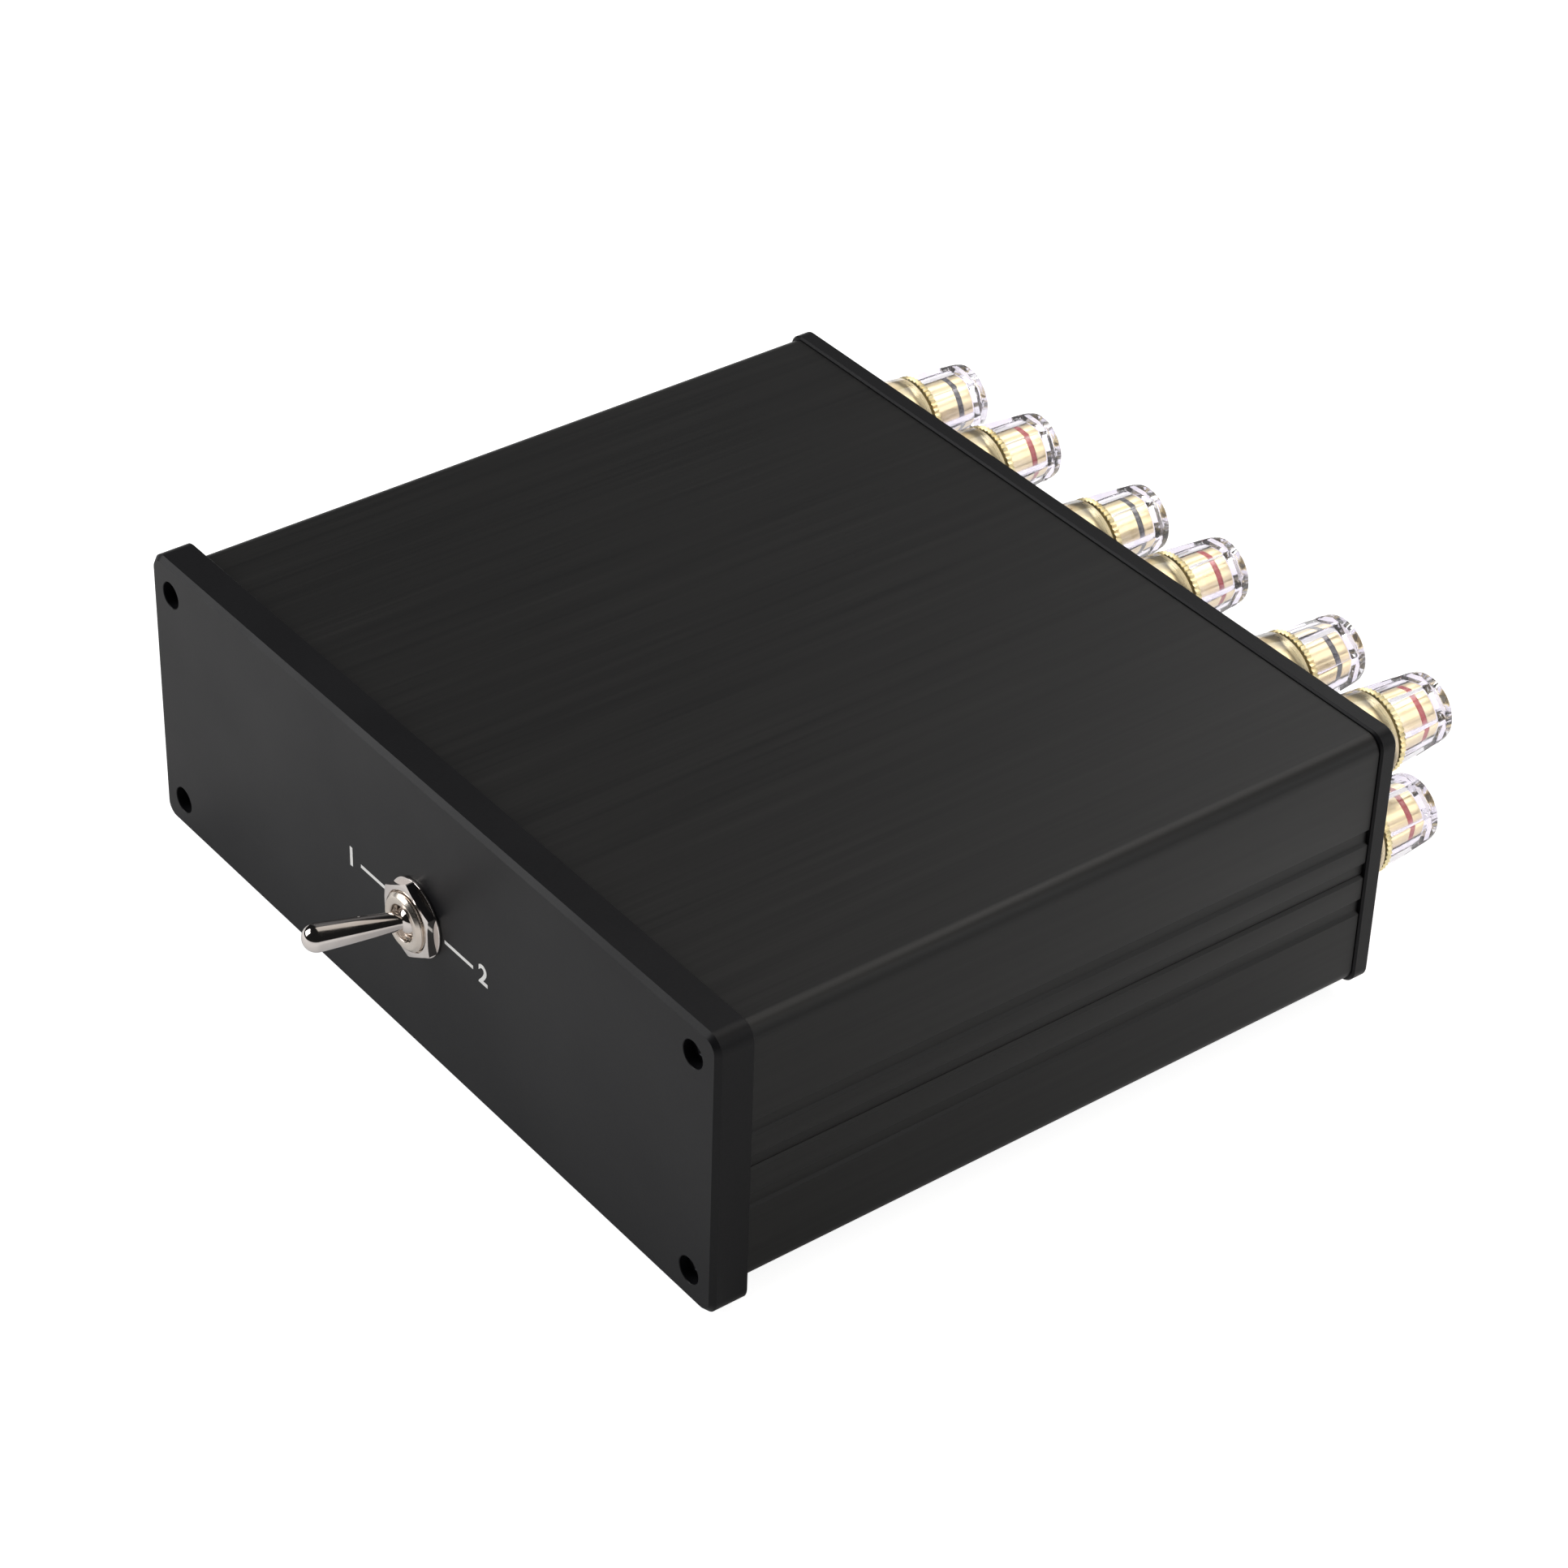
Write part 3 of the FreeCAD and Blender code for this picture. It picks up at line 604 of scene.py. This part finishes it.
def front_plate():
    outline = rectangle(front_high.x - front_low.x, front_high.z - front_low.z, corner_radius)
    toggle_hole = circle(0, middle_z, toggle_hole_radius)
    holes = [[(toggle_hole, front_y), (toggle_hole, case_front)]]
    for x, z in corners_of_screws():
        holes.append([(circle(x, z, counterbore_radius + edge_break), front_y),
                      (circle(x, z, counterbore_radius), front_y + edge_break),
                      (circle(x, z, counterbore_radius), front_y + front_sink),
                      (circle(x, z, screw_hole_radius), front_y + front_sink),
                      (circle(x, z, screw_hole_radius), case_front)])
    stations = [(front_y, front_chamfer), (front_y + front_chamfer, 0),
                (case_front - edge_break, 0), (case_front, edge_break)]
    mesh = solid("front_plate_skin", stations, outline, holes)
    piece("front_plate_skin", mesh, "case", finishes["anodised_plate"], "anodised_plate", "front_plate")


def rear_plate():
    outline = rectangle(rear_high.x - rear_low.x, rear_high.z - rear_low.z, corner_radius)
    holes = [[(circle(x, z, post_hole_radius), case_back), (circle(x, z, post_hole_radius), panel_y)]
             for x, z in post_places]
    for x, z in corners_of_screws():
        holes.append([(circle(x, z, screw_hole_radius), case_back),
                      (circle(x, z, screw_hole_radius), panel_y - rear_sink),
                      (circle(x, z, counterbore_radius), panel_y - rear_sink),
                      (circle(x, z, counterbore_radius), panel_y - edge_break),
                      (circle(x, z, counterbore_radius + edge_break), panel_y)])
    stations = [(case_back, rear_chamfer), (case_back + rear_chamfer, 0),
                (panel_y - rear_chamfer, 0), (panel_y, rear_chamfer)]
    mesh = solid("rear_plate_skin", stations, outline, holes)
    piece("rear_plate_skin", mesh, "case", finishes["anodised_plate"], "anodised_plate", "rear_plate")


def channel_arc(side):
    """Round of the screw channel inside a corner, from the side wall to the top or bottom wall."""
    x, z = screw_spacing_x / 2, screw_spacing_z / 2
    wall_x = case_high.x - case_wall
    wall_z = case_high.z - middle_z - case_wall
    start = -math.acos((wall_x - x) / channel_radius)
    end = math.asin((wall_z - z) / channel_radius) - math.pi
    steps = 14
    angles = [start + (end - start) * i / steps for i in range(steps + 1)]
    return [(x + channel_radius * math.cos(a), side * (z + channel_radius * math.sin(a)), 0) for a in angles]


def both_sides(outer, inner):
    """Whole closed section from the right half's outer and inner corners, each listed from the seam away."""
    mirror_outer = [(-x, z, r) for x, z, r in reversed(outer)]
    mirror_inner = [(-x, z, r) for x, z, r in inner]
    corners = outer + mirror_outer + mirror_inner + list(reversed(inner))
    return [Vector((p.x, p.y + middle_z)) for p in rounded(corners)]


def case_half(name, node_name, outer, inner, side):
    stations = [(case_front, edge_break), (case_front + edge_break, 0),
                (case_back - edge_break, 0), (case_back, edge_break)]
    bores = [[(circle(x, z, channel_bore, 24), case_front), (circle(x, z, channel_bore, 24), case_back)]
             for x, z in corners_of_screws() if side * (z - middle_z) > 0]
    mesh = solid(name, stations, both_sides(outer, inner), bores)
    piece(name, mesh, "case", finishes["anodised_case"], "anodised_case", node_name)


def upper_case():
    side = case_high.x
    groove = side - slot_depth
    inside = side - case_wall
    top = case_high.z - middle_z
    rebate = inside + lip_thickness + lip_clearance
    crisp = edge_break
    outer = [(rebate, -seam_drop, 0), (groove, -seam_drop, crisp), (groove, slot_height - seam_drop, 0),
             (side, slot_height - seam_drop, crisp), (side, upper_slot_rise - slot_bevel, crisp),
             (groove, upper_slot_rise, crisp),
             (groove, upper_slot_rise + slot_height, 0), (side, upper_slot_rise + slot_height, crisp),
             (side, top, corner_radius)]
    rebate_top = lip_height + lip_clearance - seam_drop
    inner = [(rebate, rebate_top, 0), (inside, rebate_top, 0)] + channel_arc(1)
    case_half("upper_case_skin", "upper_case", outer, inner, 1)


def lower_case():
    side = case_high.x
    groove = side - slot_depth
    inside = side - case_wall
    lip = inside + lip_thickness
    bottom = -(case_high.z - middle_z)
    crisp = edge_break
    outer = [(lip, -seam_drop, 0), (groove, -seam_drop, crisp), (side, -seam_drop - slot_bevel, crisp),
             (side, slot_height - lower_slot_drop, crisp), (groove, slot_height - lower_slot_drop, 0),
             (groove, -lower_slot_drop, crisp), (side, -lower_slot_drop - slot_bevel, crisp),
             (side, bottom, corner_radius)]
    inner = [(lip, lip_height - seam_drop, crisp), (inside, lip_height - seam_drop, 0)] + channel_arc(-1)
    case_half("lower_case_skin", "lower_case", outer, inner, -1)


def cap_screw_mesh():
    """Cap screw about the Y axis, its head's underside at the origin and its shank along +Y."""
    lip = 0.3 * mm
    neck = head_radius - shank_radius
    stations = [(-head_height, lip), (lip - head_height, 0), (0, 0), (0, neck),
                (shank_length - lip, neck), (shank_length, neck + lip)]
    key = [(hexagon(0, 0, key_flats + lip), -head_height),
           (hexagon(0, 0, key_flats), lip / 2 - head_height),
           (hexagon(0, 0, key_flats), key_depth - head_height)]
    screw = solid("cap_screw", stations, circle(0, 0, head_radius, 4 * head_ridges), [key])
    return grown("cap_screw_ridged", ridges, {
        "Ridges": float(head_ridges), "Depth": ridge_depth, "Pitch": 1.0,
        "From radius": head_radius - small_gap, "From y": -1.0, "To y": 1.0,
        "Finish": finishes["black_screw"]}, screw)


def set_out(name, start, groups, group_step, column_step, row_step, direction, finish):
    return grown(name, rows, {
        "Groups": groups, "Group spacing": group_step, "Column spacing": column_step,
        "Row spacing": row_step, "Row direction": direction, "Finish": finishes[finish]}, start)


def panel_screws():
    sets = []
    for seat, flip in ((front_y + front_sink, 0), (panel_y - rear_sink, math.pi)):
        screws = set_out("screw_set", cap_screw_mesh(), 1, 0.0, screw_spacing_x, screw_spacing_z,
                         (0, 0, 1), "black_screw")
        place = Matrix.Translation((0, seat, middle_z)) @ Matrix.Rotation(flip, 4, "Z")
        sets.append(moved(screws, place))
    piece("panel_cap_screws", joined("panel_cap_screws", sets), "case", finishes["black_screw"],
          "black_screw", "panel_screws")


def rubber_feet():
    low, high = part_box("rubber_feet")
    height = high.z - low.z
    foot = turned("foot", [(0, 0, 0), (foot_radius - foot_draft, 0, 0.6 * mm), (foot_radius, height, 0),
                           (0, height, 0)])
    moved(foot, Matrix.Rotation(math.pi / 2, 4, "X"))
    width, length = (high.x - low.x) - 2 * foot_radius, (high.y - low.y) - 2 * foot_radius
    feet = set_out("rubber_feet_skin", foot, 1, 0.0, width, length, (0, 1, 0), "foot_rubber")
    moved(feet, Matrix.Translation((0, (low.y + high.y) / 2, low.z)))
    piece("rubber_feet_skin", shaded(feet), "case", finishes["foot_rubber"], "foot_rubber",
          "rubber_feet")


# Toggle switch

def toggle_hardware():
    back = front_y - washer_thickness
    soft = 0.15 * mm
    bore = bushing_radius + small_gap
    washer = turned("washer", [(bore, back, soft), (washer_radius, back, soft),
                               (washer_radius, front_y, soft), (bore, front_y, soft)])
    centre = Matrix.Translation((0, 0, middle_z))
    piece("toggle_washer", moved(washer, centre), "case", finishes["nickel"], "nickel", "switch_washer")
    nut = moved(nut_mesh(back, bore), centre)
    piece("toggle_nut", nut, "case", finishes["nickel"], "nickel", "switch_nut")


def nut_mesh(back, bore):
    """Hexagon nut whose front corners are turned off to a shallow cone."""
    bm = bmesh.new()
    front = back - nut_thickness
    apothem = nut_flats / 2
    corner = apothem / math.cos(math.radians(30))
    slope = math.tan(nut_bevel)
    rings = [hex_ring(bm, nut_flats, bore, back, nut_turn), hex_ring(bm, nut_flats, corner, back, nut_turn)]
    steps = 5
    for step in range(steps + 1):
        radius = corner + (apothem * nut_bevel_inner - corner) * step / steps
        rings.append(hex_ring(bm, nut_flats, radius, front + max(0, radius - apothem) * slope, nut_turn))
    rings.append(hex_ring(bm, nut_flats, bore + nut_lip, front, nut_turn))
    rings.append(hex_ring(bm, nut_flats, bore, front + nut_lip, nut_turn))
    loft(bm, rings + rings[:1])
    return mesh_of(bm, "toggle_nut", 20)


def toggle_bushing():
    front = front_y - washer_thickness - nut_thickness - bushing_proud
    low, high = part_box("switch_bushing")
    flange = (high.x - low.x) / 2
    flange_front = high.y - 1.0 * mm
    bore = ball_radius + 0.1 * mm
    throat = pivot.y + ball_radius
    flare = 4.6 * mm
    thread_step = thread_pitch / 6
    thread_rows = int((flange_front - front - 2 * thread_pitch) / thread_step)
    wall = [(bushing_radius, front + thread_pitch + i * thread_step, 0) for i in range(thread_rows)]
    profile = [(mouth_radius, front, 0.5 * mm), (bushing_radius - bushing_round, front, 0.5 * mm),
               (bushing_radius, front + bushing_round, 0)] + wall + [
               (bushing_radius, flange_front, 0), (flange, flange_front, 0.1 * mm),
               (flange, high.y, 0.1 * mm), (flare + bore / 2, high.y, 0), (bore, throat, 0),
               (bore, front + 1.4 * mm, 0.2 * mm), (mouth_radius, front + mouth_depth, 0.1 * mm)]
    sleeve = turned("sleeve", profile, 96, 40)
    threaded = grown("toggle_bushing", ridges, {
        "Ridges": 1.0, "Depth": thread_depth, "Pitch": thread_pitch,
        "From radius": bushing_radius - small_gap, "From y": front + bushing_proud,
        "To y": flange_front - small_gap, "Finish": finishes["satin_nickel"]}, sleeve)
    moved(threaded, Matrix.Translation((0, 0, middle_z)))
    piece("toggle_bushing", shaded(threaded, 40), "case", finishes["satin_nickel"], "nickel",
          "switch_bushing")


def bat_profile():
    """Half outline of the lever, straight ahead of the pivot along -Y, from its round tip to its tail."""
    tip = [(lever_tip_radius * math.sin(a), -lever_length - lever_tip_radius * math.cos(a), 0)
           for a in [math.radians(degrees) for degrees in range(0, 91, 6)]]
    neck_angle = math.degrees(math.asin(lever_neck_radius / ball_radius))
    tail_angle = 180 - math.degrees(math.asin(tail_radius / ball_radius))
    steps = 16
    angles = [math.radians(neck_angle + (tail_angle - neck_angle) * i / steps) for i in range(steps + 1)]
    ball = [(ball_radius * math.sin(a), -ball_radius * math.cos(a), 0) for a in angles]
    return tip + [(lever_neck_radius, -lever_neck_reach - 0.4 * mm, 0)] + ball + [
        (tail_radius, tail_reach, 0.2 * mm), (0, tail_reach, 0)]


def toggle_lever():
    bat = turned("bat", bat_profile(), 96, 25)
    pin = turned("pin", [(0, -pin_half_length, 0), (pin_radius, -pin_half_length, 0.15 * mm),
                         (pin_radius, pin_half_length, 0.15 * mm), (0, pin_half_length, 0)], 48)
    moved(pin, Matrix.Rotation(math.pi / 2, 4, "X"))
    lever = joined("toggle_lever", [bat, pin])
    place = Matrix.Translation(pivot) @ Matrix.Rotation(-lever_tilt, 4, "Z")
    piece("toggle_lever", moved(lever, place), "lever", finishes["nickel"], "nickel", "switch_lever")


# Binding posts

def on_every_post(name, mesh, finish, node_name):
    made = set_out(name, mesh, group_count, group_spacing, pair_spacing, row_spacing, (0, 0, 1), finish)
    moved(made, Matrix.Translation((0, panel_y, middle_z)))
    piece(name, shaded(made), "case", finishes[finish], finish, node_name)


def post_bases():
    soft = 0.25 * mm
    # the sleeve is moulded onto the barrel, with no air between them
    bore = barrel_radius - small_gap / 2
    hole = stud_radius + small_gap
    collar = turned("collar", [(hole, 0, 0), (collar_root_radius, 0, soft),
                               (collar_end_radius, collar_length, soft), (bore, collar_length, 0.1 * mm),
                               (bore, collar_floor, 0), (hole, collar_floor, 0)], 96)
    on_every_post("post_base_sleeves", collar, "clear_plastic", "post_base_collars")
    socket_end = stud_reach - socket_length
    stud = turned("stud", [(0, -stud_tail, 0), (stud_radius, -stud_tail, 0.4 * mm),
                           (stud_radius, collar_floor, 0), (barrel_radius, collar_floor, 0),
                           (barrel_radius, barrel_front, 0.3 * mm), (stud_radius, barrel_front, 0),
                           (stud_radius, stud_reach, 0.3 * mm), (socket_radius, stud_reach, 0.3 * mm),
                           (socket_radius, socket_end, 0), (0, socket_end, 0)], 72)
    on_every_post("post_gold_studs", stud, "gold", "post_studs")


def core_mesh():
    """Gold body of a knob about the Y axis, with ridges round its clamping flange."""
    root = knob_root
    shoulder = root + knurl_length
    soft = 0.15 * mm
    groove = core_radius - band_depth
    profile = [(core_bore, root, soft), (knurl_radius, root, soft), (knurl_radius, shoulder, soft),
               (core_radius, shoulder, 0), (core_radius, band_reach - small_gap, 0),
               (groove, band_reach - small_gap, 0), (groove, band_reach + band_width + small_gap, 0),
               (core_radius, band_reach + band_width + small_gap, 0), (core_radius, core_reach, 0.3 * mm),
               (plug_radius, core_reach, 0.3 * mm), (plug_radius, core_reach - core_end_wall, 0),
               (core_bore, core_reach - core_end_wall, 0)]
    plain = turned("core", profile, 4 * knurl_teeth, 30)
    return grown("ridged_core", ridges, {
        "Ridges": float(knurl_teeth), "Depth": knurl_depth, "Pitch": 1.0,
        "From radius": knurl_radius - 3 * soft, "From y": -1.0, "To y": 1.0,
        "Finish": finishes["gold"]}, plain)


def shell_mesh():
    """Clear grip about the Y axis: a tapered hexagon with a round end, hollow for the knob's body."""
    bm = bmesh.new()
    root = knob_root + knurl_length + small_gap
    bore = core_radius + small_gap
    soft = 0.3 * mm
    steps = 8
    rings = [hex_ring(bm, shell_flats, bore, root, 0),
             hex_ring(bm, shell_flats, shell_root_radius - soft, root, 0)]
    for step in range(steps + 1):
        share = step / steps
        corner = shell_root_radius + (shell_shoulder_radius - shell_root_radius) * share
        flats = min(shell_flats, 2 * corner * math.cos(math.radians(30)))
        y = root + soft + (shell_shoulder_reach - root - soft) * share
        rings.append(hex_ring(bm, flats, corner - corner_break, y, 0))
    flats = 2 * shell_end_radius
    rings.append(hex_ring(bm, flats, shell_shoulder_radius - corner_break, shell_shoulder_reach + soft, 0))
    rings.append(hex_ring(bm, flats, shell_end_radius, shell_reach - 2 * soft, 0))
    rings.append(hex_ring(bm, flats, shell_end_radius - soft / 3, shell_reach - soft, 0))
    rings.append(hex_ring(bm, flats, shell_end_radius - soft, shell_reach - soft / 3, 0))
    rings.append(hex_ring(bm, flats, shell_end_radius - 2 * soft, shell_reach, 0))
    rings.append(hex_ring(bm, flats, plug_radius + soft, shell_reach, 0))
    rings.append(hex_ring(bm, flats, plug_radius, shell_reach - soft, 0))
    rings.append(hex_ring(bm, flats, plug_radius, core_reach + small_gap, 0))
    rings.append(hex_ring(bm, flats, bore, core_reach + small_gap, 0))
    loft(bm, rings + rings[:1])
    return mesh_of(bm, "grip", 18)


def knobs():
    core, shell = core_mesh(), shell_mesh()
    inner = core_radius - band_depth + small_gap
    band_end = band_reach + band_width
    band = turned("band", [(inner, band_reach, 0), (core_radius, band_reach, 0.08 * mm),
                           (core_radius, band_end, 0.08 * mm), (inner, band_end, 0)])
    for number, ((x, z), degrees) in enumerate(zip(post_places, knob_turns), 1):
        tag = f"{number:02d}"
        colour = "black_band" if number % 2 else "red_band"
        turn = Matrix.Rotation(-math.radians(degrees), 4, "Y")
        place = Matrix.Translation((x, panel_y, z)) @ turn
        knob = "knob_" + tag
        piece("knob_body_" + tag, shaded(moved(core.copy(), place)), knob, finishes["gold"], "gold",
              "knob_core_" + tag)
        piece("knob_grip_" + tag, shaded(moved(shell.copy(), place), 18), knob, finishes["clear_plastic"],
              "clear_plastic", "knob_shell_" + tag)
        piece("knob_ring_" + tag, shaded(moved(band.copy(), place)), "band_" + tag, finishes[colour], colour,
              "knob_band_" + tag)


# Prints on the front plate

def front_prints():
    """Two printed lines beside the toggle, with the plain digits 1 and 2 at their far ends."""
    y = front_y - print_thickness
    meshes = []
    for start, end in line_spans:
        low, high = middle_z - line_width / 2, middle_z + line_width / 2
        outline = [Vector(p) for p in ((start, low), (end, low), (end, high), (start, high))]
        meshes.append(solid("mark", [(y, 0), (front_y, 0)], outline))
    for digit, x in digit_places:
        text = bpy.data.curves.new("digit", "FONT")
        text.body = digit
        text.size = digit_size
        text.align_x = "CENTER"
        text.align_y = "CENTER"
        text.extrude = print_thickness / 2
        text.offset = digit_thickening
        holder = bpy.data.objects.new("digit", text)
        scene.collection.objects.link(holder)
        graph = bpy.context.evaluated_depsgraph_get()
        mesh = bpy.data.meshes.new_from_object(holder.evaluated_get(graph))
        bpy.data.objects.remove(holder)
        place = Matrix.Translation((x, front_y - print_thickness / 2, middle_z))
        meshes.append(moved(mesh, place @ Matrix.Rotation(math.pi / 2, 4, "X")))
    piece("front_prints", joined("front_prints", meshes), "case", finishes["print"], "white_nylon")


# Solids that stay, with their finishes

def dress_inner_solids():
    slots = {part["node"]: part["material_slot"] for part in frame["record"]["subparts"]}
    for name, thing in frame["nodes"].items():
        if not thing.hide_render:
            thing.data.materials.clear()
            thing.data.materials.append(finishes[slots[name]])


# Stage, lights and camera

def camera():
    """Camera at the photograph's angle, from the solved azimuth, elevation, roll and distance."""
    azimuth, elevation, roll = math.radians(51.564), math.radians(36.112), math.radians(1.925)
    distance = 851.5 * mm
    focal_pixels, image_pixels = 5453.2, 1932
    aim = Vector((6.0 * mm, front_y + 80.4 * mm, front_low.z + 31.4 * mm))
    back = Vector((math.sin(azimuth) * math.cos(elevation), -math.cos(azimuth) * math.cos(elevation),
                   math.sin(elevation)))
    level = back.cross(Vector((0, 0, -1))).normalized()
    upright = back.cross(level)
    right = level * math.cos(roll) + upright * math.sin(roll)
    up = upright * math.cos(roll) - level * math.sin(roll)
    data = bpy.data.cameras.new("camera")
    data.sensor_width = 36.0
    data.lens = data.sensor_width * focal_pixels / image_pixels
    data.clip_start = 10 * mm
    thing = bpy.data.objects.new("camera", data)
    scene.collection.objects.link(thing)
    thing.matrix_world = Matrix((right, up, back)).transposed().to_4x4()
    thing.location = aim + back * distance
    scene.camera = thing


def lamp(name, place, aim, size, power, tint=(1, 1, 1)):
    data = bpy.data.lights.new(name, "AREA")
    data.shape = "RECTANGLE"
    data.size, data.size_y = size
    data.energy = power
    data.color = tint
    thing = bpy.data.objects.new(name, data)
    scene.collection.objects.link(thing)
    thing.location = place
    thing.rotation_euler = (Vector(aim) - Vector(place)).to_track_quat("-Z", "Y").to_euler()


def lights():
    lamp("left_front_softbox", (-0.62, -0.66, 0.52), (0, 0, 0.03), (0.6, 0.6), 4.4)
    lamp("rear_softbox", (-0.42, 0.95, 0.75), (0, 0.05, 0.03), (0.5, 0.4), 1.25)
    lamp("right_rear_softbox", (0.80, 0.64, 0.55), (0.05, 0, 0.03), (0.45, 0.8), 1.5)
    lamp("overhead_softbox", (0.28, 0.40, 1.05), (0.28, 0.40, 0), (1.45, 0.7), 1.9, (1, 0.94, 0.86))
    lamp("edge_softbox", (-0.05, 0.58, 1.0), (0.09, 0, 0.03), (0.6, 0.35), 1.5, (1, 0.96, 0.93))


def backdrop():
    """World that is white where it is seen, also through plastic, and dim as a light and in reflections."""
    world = bpy.data.worlds.new("studio")
    scene.world = world
    world.use_nodes = True
    tree = world.node_tree
    shader = tree.nodes["Background"]
    light_level, mirrored_ahead, mirrored_behind, white = 0.12, 0.012, 0.25, 1.0
    direction = node(tree, "ShaderNodeTexCoord").outputs["Generated"]
    rearward = node(tree, "ShaderNodeSeparateXYZ", {0: direction}).outputs["Y"]
    mirrored = node(tree, "ShaderNodeLightPath").outputs["Is Glossy Ray"]
    mirrored_level = ranged(tree, rearward, mirrored_ahead, mirrored_behind, 0.2, 0.5)
    dim = ranged(tree, mirrored, light_level, mirrored_level, 0, 1)
    strength = ranged(tree, seen_directly(tree), dim, white, 0, 1)
    tree.links.new(strength, shader.inputs["Strength"])
    shader.inputs["Color"].default_value = (1, 1, 1, 1)


def seen_directly(tree):
    path = node(tree, "ShaderNodeLightPath")
    return maths(tree, "MAXIMUM", path.outputs["Is Camera Ray"], path.outputs["Is Transmission Ray"])


def floor():
    """Pale floor that looks white, keeps a soft shadow and is brighter in reflections towards its ends."""
    bm = bmesh.new()
    bmesh.ops.create_grid(bm, x_segments=8, y_segments=8, size=6.0)
    mesh = bpy.data.meshes.new("floor")
    bm.to_mesh(mesh)
    bm.free()
    material, tree, shader = new_material("pale_floor")
    cloud = grain(tree, 3, detail=2.0)
    tree.links.new(blended(tree, ranged(tree, cloud, 0, 1), (0.80, 0.80, 0.80), (0.82, 0.82, 0.82)),
                   shader.inputs["Base Color"])
    shader.inputs["Roughness"].default_value = 0.9
    shader.inputs["Specular IOR Level"].default_value = 0.1
    # seen through the clear grips the floor glows dimmer and lilac: painted shade in the grips
    through = node(tree, "ShaderNodeLightPath").outputs["Is Transmission Ray"]
    tree.links.new(blended(tree, through, (1, 1, 1), (0.90, 0.86, 1)), shader.inputs["Emission Color"])
    seen_glow, through_plastic_dimming = 0.88, 0.5
    glow = maths(tree, "SUBTRACT", maths(tree, "MULTIPLY", seen_directly(tree), seen_glow),
                 maths(tree, "MULTIPLY", through, through_plastic_dimming))
    place = node(tree, "ShaderNodeTexCoord").outputs["Object"]
    along = node(tree, "ShaderNodeSeparateXYZ", {0: place}).outputs["Y"]
    front_sheen = ranged(tree, along, 0.32, 0.08, -0.11, -0.07)
    side_sheen = ranged(tree, along, 0.08, 0.5, -0.06, 0.12)
    post_sheen = ranged(tree, along, 0.0, 0.9, 0.12, 0.24)
    sheen = maths(tree, "MAXIMUM", front_sheen, maths(tree, "MAXIMUM", side_sheen, post_sheen))
    mirrored = maths(tree, "MULTIPLY", node(tree, "ShaderNodeLightPath").outputs["Is Glossy Ray"], sheen)
    tree.links.new(maths(tree, "ADD", glow, mirrored), shader.inputs["Emission Strength"])
    mesh.materials.append(material)
    thing = bpy.data.objects.new("floor", mesh)
    scene.collection.objects.link(thing)


ridges = ridges_tree()
rows = rows_tree()
scene.view_settings.view_transform = "Standard"
front_plate()
rear_plate()
upper_case()
lower_case()
panel_screws()
rubber_feet()
toggle_hardware()
toggle_bushing()
toggle_lever()
post_bases()
knobs()
front_prints()
dress_inner_solids()
floor()
backdrop()
lights()
camera()
